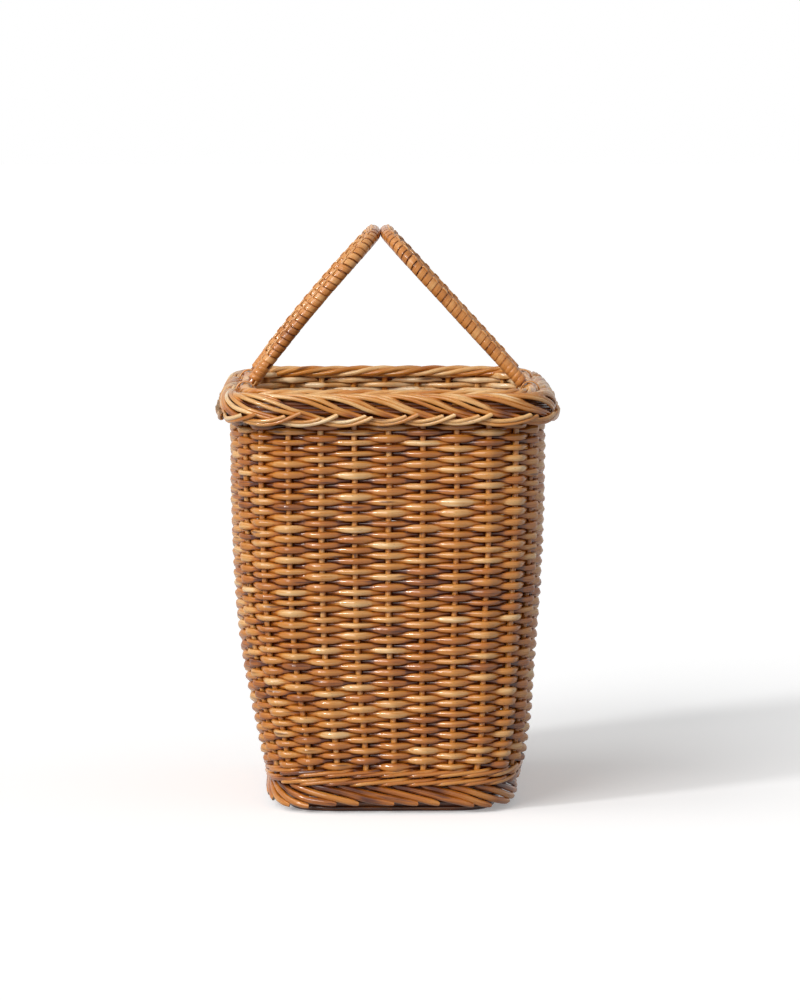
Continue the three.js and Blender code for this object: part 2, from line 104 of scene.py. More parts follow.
@dataclass(frozen=True)
class WallOutline:
    """Plan outline and flare of the wall, with the crook of a hand-made one.

    Attributes:
        rim_half: half width and half length at the rim.
        floor_half: the same at the floor.
        wall_top: height of the top of the wall.
        flare_power: how early the wall flares out, higher for earlier.
        crook: how far the wall stands to the right at most.
        crook_height: height at which it does.
        crook_reach: how far up and down from there the crook fades.
        fine_steps: steps in which the length of the outline is measured.
    """

    rim_half: tuple[float, float] = (130 * MM, 176 * MM)
    floor_half: tuple[float, float] = (101.6 * MM, 152.5 * MM)
    wall_top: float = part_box("wall_weave")[1].z
    flare_power: float = 2.5
    crook: float = 4.8 * MM
    crook_height: float = 45.0 * MM
    crook_reach: float = 60.0 * MM
    fine_steps: int = 4000

    def half_sizes(self, z: Array) -> Pair:
        """Half width and half length of the wall's outer face.

        Args:
            z: heights above the floor.

        Returns:
            Half widths and half lengths, one of each per height.
        """
        rise = np.clip(z / self.wall_top, 0.0, 1.0)
        flare = 1.0 - (1.0 - rise) ** self.flare_power
        width = self.floor_half[0] + (self.rim_half[0] - self.floor_half[0]) * flare
        length = self.floor_half[1] + (self.rim_half[1] - self.floor_half[1]) * flare
        return width, length

    def lean(self, z: Array) -> Array:
        """How far the hand-made wall stands to the right, most just above the foot."""
        return self.crook * np.exp(-(((z - self.crook_height) / self.crook_reach) ** 2))

    def at_turn(self, turn: Array, z: Array, squareness: float) -> Pair:
        """Points of the outer face and their level outward normals.

        Args:
            turn: places round the outline, 0 to 1 from the middle of the front end.
            z: height of each place.
            squareness: power of the rounded outline.

        Returns:
            Points and unit normals, one row of three per place.
        """
        width, length = self.half_sizes(z)
        across, along = np.sin(2 * np.pi * turn), -np.cos(2 * np.pi * turn)
        reach = (np.abs(across) ** squareness + np.abs(along) ** squareness) ** (-1.0 / squareness)
        points = np.stack([width * reach * across, length * reach * along, z], axis=1)
        power = squareness - 1
        normals = np.stack([
            np.sign(across) * np.abs(reach * across) ** power / width,
            np.sign(along) * np.abs(reach * along) ** power / length,
            np.zeros_like(z),
        ], axis=1)
        return points, normals / np.linalg.norm(normals, axis=1, keepdims=True)

    def turn_of(self, stake: Array) -> Array:
        """Turn of places given in stakes, which stand evenly along the rim.

        Args:
            stake: places round the basket, in stakes.

        Returns:
            Places round the outline, 0 to 1.
        """
        turns = np.linspace(0.0, 1.0, self.fine_steps + 1)
        points, _ = self.at_turn(turns, np.full_like(turns, self.wall_top), WALL_SQUARENESS)
        walked = np.concatenate([[0.0], np.cumsum(np.linalg.norm(np.diff(points, axis=0), axis=1))])
        share = np.mod(stake, STAKE_COUNT) / STAKE_COUNT
        return np.interp(share, walked / walked[-1], turns)

    def place(
        self, stake: Array, z: Array, outset: Array, squareness: float = WALL_SQUARENESS
    ) -> Pair:
        """Points set out from the wall's outer face.

        Args:
            stake: places round the basket, in stakes.
            z: height of each place.
            outset: distance outward from the outer face, negative inside it.
            squareness: power of the rounded outline.

        Returns:
            Points and unit normals, one row of three per place.
        """
        points, normals = self.at_turn(self.turn_of(stake), z, squareness)
        points[:, 0] += self.lean(z)
        return points + normals * np.asarray(outset)[:, None], normals

    def round_rim(
        self, stake: Array, middle: tuple, radii: tuple, angle: Array
    ) -> Pair:
        """Points on a round band that runs along the rim.

        Args:
            stake: places round the basket, in stakes.
            middle: outset and height of the middle of the band.
            radii: half sizes of the band, outward and upward.
            angle: angle on the band, 0 at its outer side and a quarter turn at its top.

        Returns:
            Points and the band's outward directions.
        """
        out, up = np.cos(angle), np.sin(angle)
        outset = middle[0] + radii[0] * out
        top = np.full_like(stake, self.wall_top)
        points, level = self.place(stake, top, outset, RIM_SQUARENESS)
        points[:, 2] = middle[1] + radii[1] * up
        facing = level * out[:, None]
        facing[:, 2] = up
        return points, facing


OUTLINE = WallOutline()


@dataclass
class Rod:
    """One swept rod or strip.

    Attributes:
        path: centre line, one row of three per ring.
        facing: direction of the rod's outer face at each ring.
        thick: half thickness along facing.
        wide: half width across facing.
        tone: 0 for dark stain to 1 for pale willow, at each ring or each corner.
        closed: the last ring lies on the first one, and there are no cut ends.
        flatness: power of the section, 1 for an ellipse and less for a flatter strip.
        slant: lean of the cut ends, as a share of the thickness.
    """

    path: Array
    facing: Array
    thick: Array | float
    wide: Array | float
    tone: Array | float = 0.5
    closed: bool = False
    flatness: float = 1.0
    slant: float = 0.0

    def axes(self) -> tuple[Array, Array, Array]:
        """Directions of the section at each ring.

        Returns:
            Unit tangents, outward and sideways directions.
        """
        if self.closed:
            ahead, behind = np.roll(self.path[:-1], -1, axis=0), np.roll(self.path[:-1], 1, axis=0)
            tangent = np.vstack([ahead - behind, (ahead - behind)[:1]])
        else:
            tangent = np.gradient(self.path, axis=0)
        tangent = tangent / np.linalg.norm(tangent, axis=1, keepdims=True)
        outward = self.facing - tangent * np.sum(self.facing * tangent, axis=1, keepdims=True)
        outward = outward / np.linalg.norm(outward, axis=1, keepdims=True)
        return tangent, outward, np.cross(tangent, outward)

    def walked(self) -> Array:
        """Length along the centre line at each ring."""
        steps = np.linalg.norm(np.diff(self.path, axis=0), axis=1)
        return np.concatenate([[0.0], np.cumsum(steps)])

    def corner_tone(self, sides: int) -> Array:
        """Tone of every corner.

        Args:
            sides: corners of a ring.

        Returns:
            Tones as rings x sides.
        """
        tone = np.asarray(self.tone, float)
        tone = tone[:, None] if tone.ndim == 1 else tone
        return np.broadcast_to(tone, (len(self.path), sides))

    def rings(self, sides: int) -> Pair:
        """Corners of every ring.

        Args:
            sides: corners of a ring.

        Returns:
            Corners as rings x sides x 3, and their places in the rod's own frame, where the
            third number is the length along the rod.
        """
        tangent, outward, sideways = self.axes()
        angle = 2 * np.pi * np.arange(sides) / sides
        out = np.sign(np.cos(angle)) * np.abs(np.cos(angle)) ** self.flatness
        side = np.sign(np.sin(angle)) * np.abs(np.sin(angle)) ** self.flatness
        count = len(self.path)
        out_by = np.broadcast_to(self.thick, count)[:, None] * out
        side_by = np.broadcast_to(self.wide, count)[:, None] * side
        corners = self.path[:, None, :] + outward[:, None, :] * out_by[..., None]
        corners = corners + sideways[:, None, :] * side_by[..., None]
        if self.slant:
            for ring in (0, -1):
                corners[ring] += tangent[ring] * (self.slant * out_by[ring])[:, None]
        along = np.broadcast_to(self.walked()[:, None], out_by.shape)
        return corners, np.stack([out_by, side_by, along], axis=2)


@dataclass
class RodPiece:
    """A piece of the basket made of many rods in one mesh.

    Attributes:
        name: name of the piece.
        finish: material of the rods.
        slot: material slot of the record.
        nodes: CAD nodes that the piece stands for.
        body: body that the piece rides on.
        sides: corners of a rod's section.
        rods: the rods that are in the piece so far.
    """

    name: str
    finish: Material
    slot: Slot
    nodes: tuple[str, ...]
    body: str = BASKET_BODY
    sides: int = 8
    rods: list[Rod] = field(default_factory=list)

    def add(self, *rods: Rod) -> None:
        """Puts rods into the piece."""
        self.rods.extend(rods)

    def build(self) -> None:
        """Makes the mesh, dresses it, and hangs it on its body."""
        corners, faces, maps, values = [], [], [], {"rod": [], "tone": [], "cut": []}
        layout = StripLayout.of(self.rods)
        first = 0
        for number, rod in enumerate(self.rods):
            rings, own = rod.rings(self.sides)
            count = len(rings)
            own = own + np.array([0.0, 0.0, GRAIN_STEP * number])
            tone = rod.corner_tone(self.sides)
            corners.append(rings.reshape(-1, 3))
            values["rod"].append(own.reshape(-1, 3))
            values["tone"].append(tone.ravel())
            values["cut"].append(np.zeros(count * self.sides))
            ring, side = np.meshgrid(np.arange(count - 1), np.arange(self.sides), indexing="ij")
            beside = (side + 1) % self.sides
            quads = np.stack([
                ring * self.sides + side, ring * self.sides + beside,
                (ring + 1) * self.sides + beside, (ring + 1) * self.sides + side,
            ], axis=2).reshape(-1, 4)
            faces.append(quads + first)
            maps.append(layout.wall_map(number, rod, self.sides))
            first += count * self.sides
            if not rod.closed:
                for at in (0, -1):
                    order = np.arange(self.sides) if at else np.arange(self.sides)[::-1]
                    corners.append(rings[at])
                    values["rod"].append(own[at])
                    values["tone"].append(tone[at])
                    values["cut"].append(np.ones(self.sides))
                    faces.append((order + first)[None, :])
                    maps.append(layout.end_map(number, rod, at, self.sides)[order])
                    first += self.sides
        mesh = self.mesh_of(np.vstack(corners), faces, np.vstack(maps))
        for label, kind in (("tone", "FLOAT"), ("cut", "FLOAT"), ("rod", "FLOAT_VECTOR")):
            data = mesh.attributes.new(label, kind, "POINT").data
            joined = np.concatenate(values[label]).astype(np.float32)
            data.foreach_set("vector" if kind == "FLOAT_VECTOR" else "value", joined.ravel())
        mesh.materials.append(self.finish)
        piece = bpy.data.objects.new(self.name, mesh)
        bpy.context.scene.collection.objects.link(piece)
        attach(piece, self.body)
        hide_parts(*self.nodes)
        LOG.info("%s: %d rods, %d faces", self.name, len(self.rods), len(mesh.polygons))

    def mesh_of(self, corners: Array, faces: list[Array], maps: Array) -> bpy.types.Mesh:
        """Writes corners, faces and the strip map into a mesh.

        Args:
            corners: every corner of the piece.
            faces: blocks of faces, each with one number of corners.
            maps: place of each face corner on the strip map, in the order of the faces.

        Returns:
            The smooth shaded mesh.
        """
        loops = np.concatenate([block.ravel() for block in faces]).astype(np.int32)
        sizes = np.concatenate([np.full(len(block), block.shape[1]) for block in faces])
        starts = np.concatenate([[0], np.cumsum(sizes)[:-1]]).astype(np.int32)
        mesh = bpy.data.meshes.new(self.name)
        mesh.vertices.add(len(corners))
        mesh.vertices.foreach_set("co", corners.astype(np.float32).ravel())
        mesh.loops.add(len(loops))
        mesh.loops.foreach_set("vertex_index", loops)
        mesh.polygons.add(len(starts))
        mesh.polygons.foreach_set("loop_start", starts)
        mesh.update(calc_edges=True)
        mesh.shade_smooth()
        strip_map = mesh.uv_layers.new(name="OFBake")
        strip_map.uv.foreach_set("vector", maps.astype(np.float32).ravel())
        return mesh


@dataclass(frozen=True)
class StripLayout:
    """Lays the skins of a piece's rods end to end in rows on one square map.

    Attributes:
        starts: where each rod starts on the one long line of all rods.
        row_length: length of line that fits into a row.
        rows: number of rows.
        room: length kept free for the two cut ends of a rod.
        margin: share of a row that is free under its strip.
        fill: share of a row that the strip takes up.
        end_places: where the two cut ends lie in their room.
        end_half: half sizes of a cut end, as shares of the room and of a row.
    """

    starts: tuple[float, ...]
    row_length: float
    rows: int
    room: float
    margin: float = 0.06
    fill: float = 0.88
    end_places: tuple[float, float] = (0.3, 0.7)
    end_half: tuple[float, float] = (0.15, 0.3)

    @classmethod
    def of(cls, rods: list[Rod]) -> "StripLayout":
        """Makes the layout of a piece.

        Args:
            rods: the rods of the piece.

        Returns:
            The layout, with a row more than the rods fill.
        """
        girth = float(np.mean([np.pi * (np.mean(rod.thick) + np.mean(rod.wide)) for rod in rods]))
        lengths = np.array([rod.walked()[-1] for rod in rods])
        starts = np.concatenate([[0.0], np.cumsum(lengths + girth)])
        rows = max(1, math.ceil(math.sqrt(starts[-1] / girth)))
        longest = max(float(np.max(np.diff(rod.walked()))) for rod in rods)
        row_length = starts[-1] / rows + longest + girth
        return cls(tuple(starts[:-1]), row_length, rows + 1, girth)

    def usable(self, rod: Rod) -> float:
        """Length of a row that a rod's rings may start in, so that no face runs past the row."""
        return self.row_length - float(np.max(np.diff(rod.walked()))) - self.room

    def wall_map(self, number: int, rod: Rod, sides: int) -> Array:
        """Map places of the wall of one rod.

        Args:
            number: number of the rod in its piece.
            rod: the rod.
            sides: corners of its section.

        Returns:
            Places of the four corners of each face, in the order of the faces.
        """
        walked = rod.walked() + self.starts[number]
        usable = self.usable(rod)
        row = np.floor(walked[:-1] / usable)
        left = (walked[:-1] - row * usable) / self.row_length
        right = (walked[1:] - row * usable) / self.row_length
        side = np.arange(sides)
        low = (row[:, None] + self.margin + self.fill * side / sides) / self.rows
        high = (row[:, None] + self.margin + self.fill * (side + 1) / sides) / self.rows
        left, right = (np.broadcast_to(edge[:, None], low.shape) for edge in (left, right))
        places = [(left, low), (left, high), (right, high), (right, low)]
        return np.stack([np.stack(place, axis=2) for place in places], axis=2).reshape(-1, 2)

    def end_map(self, number: int, rod: Rod, at: int, sides: int) -> Array:
        """Map places of one cut end, beside the end of the rod's strip.

        Args:
            number: number of the rod in its piece.
            rod: the rod.
            at: 0 for the first end and -1 for the last.
            sides: corners of the rod's section.

        Returns:
            Places of the corners of the cut.
        """
        walked = self.starts[number] + rod.walked()[-1]
        usable = self.usable(rod)
        row = math.floor((walked - 1e-9) / usable)
        middle = walked - row * usable + self.room * self.end_places[at]
        angle = 2 * np.pi * np.arange(sides) / sides
        across = (middle + self.end_half[0] * self.room * np.cos(angle)) / self.row_length
        up = (row + 0.5 + self.end_half[1] * np.sin(angle)) / self.rows
        return np.stack([across, up], axis=1)


class Handwork:
    """Base of the sub-assemblies: the small differences of handwork, drawn from their seed."""

    seed: int

    @cached_property
    def rng(self) -> Random:
        """Source of the random values."""
        return np.random.default_rng(self.seed)

    def noise(self, knots: int, places: Array) -> Array:
        """Smooth random line that closes on itself.

        Args:
            knots: number of random values round the loop.
            places: places on the loop, where 1 is once round.

        Returns:
            Values between -1 and 1, one per place.
        """
        values = self.rng.uniform(-1.0, 1.0, knots)
        at = np.mod(places, 1.0) * knots
        low = np.floor(at).astype(int)
        share = at - low
        share = share * share * (3.0 - 2.0 * share)
        return values[low % knots] * (1.0 - share) + values[(low + 1) % knots] * share


def once_round(steps: int) -> Pair:
    """Places once round the basket, so many to a stake: in stakes, and as shares of the round."""
    stake = np.linspace(0.0, STAKE_COUNT, STAKE_COUNT * steps + 1)
    return stake, stake / STAKE_COUNT


def along_rod(rings: int) -> Array:
    """Places along a rod with two ends, on a loop of noise that they leave open."""
    return np.linspace(0.0, 0.9, rings)


def smooth_path(points: list[tuple[float, ...]], steps: int) -> Array:
    """Even-handed curve through a few points.

    Args:
        points: points to pass, of any dimension.
        steps: rows of the result.

    Returns:
        Points of the curve, ends included.
    """
    knots = np.array(points, float)
    knots = np.vstack([2 * knots[0] - knots[1], knots, 2 * knots[-1] - knots[-2]])
    at = np.linspace(0.0, len(points) - 1 - 1e-9, steps)
    low = np.floor(at).astype(int)
    t = (at - low)[:, None]
    a, b, c, d = knots[low], knots[low + 1], knots[low + 2], knots[low + 3]
    square, cube = 2 * a - 5 * b + 4 * c - d, 3 * b - a - 3 * c + d
    return 0.5 * (2 * b + (c - a) * t + square * t**2 + cube * t**3)


def ease(low: float, high: float, value: Array) -> Array:
    """Smooth step from 0 at low to 1 at high."""
    share = np.clip((value - low) / (high - low), 0.0, 1.0)
    return share * share * (3.0 - 2.0 * share)


class NodeBoard:
    """Node tree of a material or of the world, with short calls to add nodes."""

    def __init__(self, tree: bpy.types.NodeTree) -> None:
        """Takes a tree and empties it."""
        self.tree = tree
        tree.nodes.clear()

    @classmethod
    def of_material(cls, name: str) -> tuple[Material, "NodeBoard"]:
        """Makes a material.

        Args:
            name: name of the material.

        Returns:
            The material and the board of its empty tree.
        """
        material = bpy.data.materials.new(name)
        material.use_nodes = True
        return material, cls(material.node_tree)

    def add(
        self, kind: str, settings: dict | None = None, numbered: dict | None = None, **inputs: Fed
    ) -> bpy.types.Node:
        """Adds a node.

        Args:
            kind: Blender's type of the node.
            settings: properties of the node.
            numbered: values or output sockets for inputs, by the number of the input.
            inputs: the same by the name of the input, with spaces as underscores.

        Returns:
            The new node.
        """
        node = self.tree.nodes.new(kind)
        for label, value in (settings or {}).items():
            setattr(node, label, value)
        named = {label.replace("_", " "): value for label, value in inputs.items()}
        for place, value in {**(numbered or {}), **named}.items():
            if isinstance(value, Socket):
                self.tree.links.new(value, node.inputs[place])
            else:
                node.inputs[place].default_value = value
        return node

    def read(self, label: str, output: str) -> Socket:
        """Output of a mesh attribute."""
        return self.add("ShaderNodeAttribute", {"attribute_name": label}).outputs[output]

    def stretch(self, vector: Socket, by: Triple) -> Socket:
        """A vector times a fixed vector."""
        node = self.add("ShaderNodeVectorMath", {"operation": "MULTIPLY"}, {0: vector, 1: by})
        return node.outputs[0]

    def noise(self, vector: Socket, detail: float, roughness: float = 0.5) -> Socket:
        """Soft noise at scale 1."""
        return self.add("ShaderNodeTexNoise", Vector=vector, Scale=1.0, Detail=detail,
                        Roughness=roughness).outputs["Fac"]

    def spots(self, vector: Socket, radius: float, blur: float = 0.10) -> Socket:
        """1 inside scattered spots and 0 outside them."""
        cells = self.add("ShaderNodeTexVoronoi", Vector=vector, Scale=1.0).outputs["Distance"]
        return self.remap(cells, radius, radius + blur, 1.0, 0.0)

    def remap(
        self, value: Socket, low: float, high: float, to_low: float, to_high: float
    ) -> Socket:
        """A value moved from one range to another and held inside it."""
        values = dict(enumerate((value, low, high, to_low, to_high)))
        return self.add("ShaderNodeMapRange", None, values).outputs["Result"]

    def math(self, operation: str, a: Fed, b: Fed) -> Socket:
        """One step of arithmetic on two values."""
        return self.add("ShaderNodeMath", {"operation": operation}, {0: a, 1: b}).outputs[0]

    def ramp(self, value: Socket, stops: tuple) -> Socket:
        """Colour from a ramp.

        Args:
            value: place on the ramp.
            stops: place and colour of each stop.

        Returns:
            The colour.
        """
        node = self.add("ShaderNodeValToRGB", Fac=value)
        elements = node.color_ramp.elements
        while len(elements) < len(stops):
            elements.new(1.0)
        for element, (place, colour) in zip(elements, stops):
            element.position = place
            element.color = (*colour, 1.0)
        return node.outputs["Color"]

    def blend(self, share: Fed, a: Fed, b: Fed) -> Socket:
        """Mix of two colours."""
        return self.add("ShaderNodeMix", {"data_type": "RGBA"}, {0: share, 6: a, 7: b}).outputs[2]


@dataclass(frozen=True)
class VarnishedRod:
    """What the finishes of the rods share: a streaky, patchy skin under a clear coat.

    Attributes:
        name: name of the material.
        streak: how strongly the fibres show.
        patchy: how strongly the darker and paler stretches show.
        roughness: lowest and highest roughness of the skin.
        relief: strength of the bump.
        relief_depth: depth of the bump.
        shine: shine of the bare skin.
        varnish: weight of the clear coat.
        varnish_roughness: roughness of the clear coat.
        varnish_index: refraction of the clear coat.
    """

    name: str
    streak: float = 0.20
    patchy: float = 0.13
    roughness: tuple[float, float] = (0.34, 0.52)
    relief: float = 0.30
    relief_depth: float = 0.20 * MM
    shine: float = 0.1
    varnish: float = 0.36
    varnish_roughness: float = 0.10
    varnish_index: float = 1.95

    def shade(
        self, board: NodeBoard, fibre: Socket, patch: Socket
    ) -> Socket:
        """Tone of the rod with its fibres and stretches.

        Args:
            board: board of the material.
            fibre: noise of the fibres.
            patch: noise of the stretches.

        Returns:
            Place on the ramp of the finish.
        """
        streaks = board.remap(fibre, 0.25, 0.75, -self.streak, self.streak)
        patches = board.remap(patch, 0.3, 0.7, -self.patchy, self.patchy)
        return board.math("ADD", board.math("ADD", board.read("tone", "Fac"), streaks), patches)

    def varnished(
        self, board: NodeBoard, colour: Socket, fibre: Socket,
        height: Socket
    ) -> None:
        """Ends the tree in the skin under its clear coat.

        Args:
            board: board of the material.
            colour: colour of the skin.
            fibre: noise of the fibres, which also sets the roughness.
            height: height of the bump.
        """
        bump = board.add("ShaderNodeBump", Strength=self.relief, Distance=self.relief_depth,
                         Height=height)
        skin = board.add(
            "ShaderNodeBsdfPrincipled", Base_Color=colour, Normal=bump.outputs[0],
            Roughness=board.remap(fibre, 0.3, 0.7, *self.roughness), Specular_IOR_Level=self.shine,
            Coat_Weight=self.varnish, Coat_Roughness=self.varnish_roughness,
            Coat_IOR=self.varnish_index,
        )
        board.add("ShaderNodeOutputMaterial", Surface=skin.outputs[0])


@dataclass(frozen=True)
class VarnishedWillow(VarnishedRod):
    """Stained and varnished willow: streaky along the rod, with knots, specks and pale cut ends.

    Attributes:
        dark: darkest colour: painted shade in the hollows and on the dark rods that stand in for
            deep shade, and the colour of the knots and specks.
        amber: the redder rods.
        honey: most rods.
        straw: the paler skin.
        raw: willow that the staining hardly reached; the inner faces of the wall are painted up to
            it, partly as painted light.
        cut: wood of a fresh cut end.
        knot_stain: how dark the knots are.
        speck_stain: how dark the specks are.
    """

    dark: Triple = (0.085, 0.015, 0.002)
    amber: Triple = (0.450, 0.132, 0.012)
    honey: Triple = (0.600, 0.238, 0.038)
    straw: Triple = (0.790, 0.470, 0.190)
    raw: Triple = (0.820, 0.600, 0.350)
    cut: Triple = (0.860, 0.700, 0.480)
    knot_stain: float = 0.75
    speck_stain: float = 0.45

    def build(self) -> Material:
        """Makes the material.

        Returns:
            A new material that reads the rod, tone and cut attributes of a piece.
        """
        material, board = NodeBoard.of_material(self.name)
        rod = board.read("rod", "Vector")
        fibre = board.noise(board.stretch(rod, (1500, 1500, 26)), 4.0, 0.62)
        patch = board.noise(board.stretch(rod, (170, 170, 34)), 2.0)
        knot = board.spots(board.stretch(rod, (150, 150, 21)), 0.09)
        speck = board.spots(board.stretch(rod, (700, 700, 230)), 0.10)
        stops = (
            (0.0, self.dark), (0.30, self.amber), (0.58, self.honey), (0.86, self.straw),
            (1.0, self.raw),
        )
        colour = board.ramp(self.shade(board, fibre, patch), stops)
        for spots, darkening in ((knot, self.knot_stain), (speck, self.speck_stain)):
            colour = board.blend(board.math("MULTIPLY", spots, darkening), colour, (*self.dark, 1.0))
        rings = board.noise(board.stretch(rod, (900, 900, 0)), 2.0)
        dull = tuple(0.75 * part for part in self.cut)
        wood = board.ramp(rings, ((0.35, dull), (0.65, self.cut)))
        colour = board.blend(board.read("cut", "Fac"), colour, wood)
        ridges = board.math("MULTIPLY", fibre, 0.7)
        height = board.math("ADD", ridges, board.math("MULTIPLY", knot, 0.5))
        self.varnished(board, colour, fibre, height)
        return material


@dataclass(frozen=True)
class GlossyCane(VarnishedRod):
    """Flat glossy cane: fine fibres along the strip, darker edges and specks.

    Attributes:
        dark: specks, and the edges of a strip, which are darker.
        mid: most of the skin.
        pale: the palest skin.
        edge: distances from the middle of a strip between which its edge darkens.
        edge_darkening: how much darker the edge is.
        speck_stain: how dark the specks are.
        cut_share: how pale the cut ends are.
    """

    streak: float = 0.24
    patchy: float = 0.14
    roughness: tuple[float, float] = (0.26, 0.40)
    relief: float = 0.25
    varnish: float = 0.42
    varnish_index: float = 1.5
    dark: Triple = (0.150, 0.034, 0.005)
    mid: Triple = (0.600, 0.225, 0.052)
    pale: Triple = (0.800, 0.450, 0.180)
    edge: tuple[float, float] = (1.9 * MM, 2.7 * MM)
    edge_darkening: float = 0.30
    speck_stain: float = 0.5
    cut_share: float = 0.8

    def build(self) -> Material:
        """Makes the material.

        Returns:
            A new material that reads the rod, tone and cut attributes of a piece.
        """
        material, board = NodeBoard.of_material(self.name)
        rod = board.read("rod", "Vector")
        fibre = board.noise(board.stretch(rod, (1900, 2400, 20)), 3.0, 0.6)
        patch = board.noise(board.stretch(rod, (120, 120, 45)), 2.0)
        speck = board.spots(board.stretch(rod, (600, 600, 160)), 0.09)
        across = board.add("ShaderNodeSeparateXYZ", Vector=rod).outputs["Y"]
        edge = board.remap(board.math("ABSOLUTE", across, 0.0), *self.edge, 0.0, self.edge_darkening)
        shade = board.math("SUBTRACT", self.shade(board, fibre, patch), edge)
        colour = board.ramp(shade, ((0.0, self.dark), (0.5, self.mid), (0.95, self.pale)))
        darkening = board.math("MULTIPLY", speck, self.speck_stain)
        colour = board.blend(darkening, colour, (*self.dark, 1.0))
        cut = board.math("MULTIPLY", board.read("cut", "Fac"), self.cut_share)
        self.varnished(board, board.blend(cut, colour, (*self.pale, 1.0)), fibre, fibre)
        return material


class Press(Enum):
    """How rods give way to a leg.

    Each holds how far under the hinge line the pressing starts, and the share of the height over
    that start which is left under a leg.
    """

    WALL = (35.0 * MM, 0.80)
    PLAIT = (14.6 * MM, 0.35)


@dataclass(frozen=True)
class LegRoom:
    """Room over the border for the legs of the handles, which lie on it when they are swung out.

    Attributes:
        hinge: height of the hinge line.
        feet: distance of the legs from the middle of the long sides.
        reach: distance to the side of a leg over which the rods come up again.
    """

    hinge: float
    feet: float = 80.0 * MM
    reach: float = 20.0 * MM

    def lowered(self, points: Array, press: Press) -> Array:
        """Presses rods down where a leg comes to lie on them.

        Args:
            points: places on the rods.
            press: how the rods give way.

        Returns:
            The places after pressing.
        """
        depth, keep = press.value
        off = np.minimum(np.abs(np.abs(points[:, 1]) - self.feet) / self.reach, 1.0)
        pressing = (1.0 - keep) * (0.5 + 0.5 * np.cos(np.pi * off))
        pressed = points.copy()
        pressed[:, 2] -= pressing * np.maximum(points[:, 2] - self.hinge + depth, 0.0)
        return pressed


@dataclass
class UprightStakes(Handwork):
    """The forty upright stakes that the wall is woven round.

    Attributes:
        sway: how far a stake strays to the side, in stakes.
        uneven: how much its thickness changes.
    """

    finish: Material
    room: LegRoom
    top: float
    bottom: float = FOOT_TOP + 12.5 * MM
    radius: float = 2.5 * MM
    sway: float = 0.02
    uneven: float = 0.05
    rings: int = 48
    seed: int = 11

    def build(self) -> None:
        """Makes the stakes as one piece."""
        nodes = tuple(f"stake_{number:02d}" for number in range(1, STAKE_COUNT + 1))
        piece = RodPiece("upright_stakes", self.finish, Slot.STAKES, nodes)
        z, share = np.linspace(self.bottom, self.top, self.rings), along_rod(self.rings)
        for stake in range(STAKE_COUNT):
            places = stake + self.sway * self.noise(7, share)
            path, normals = OUTLINE.place(places, z, np.full_like(z, -STAKE_INSET))
            path = self.room.lowered(path, Press.WALL)
            radius = self.radius * (1.0 + self.uneven * self.noise(12, share))
            piece.add(Rod(path, normals, radius, radius, tone=self.rng.uniform(0.42, 0.78)))
        piece.build()


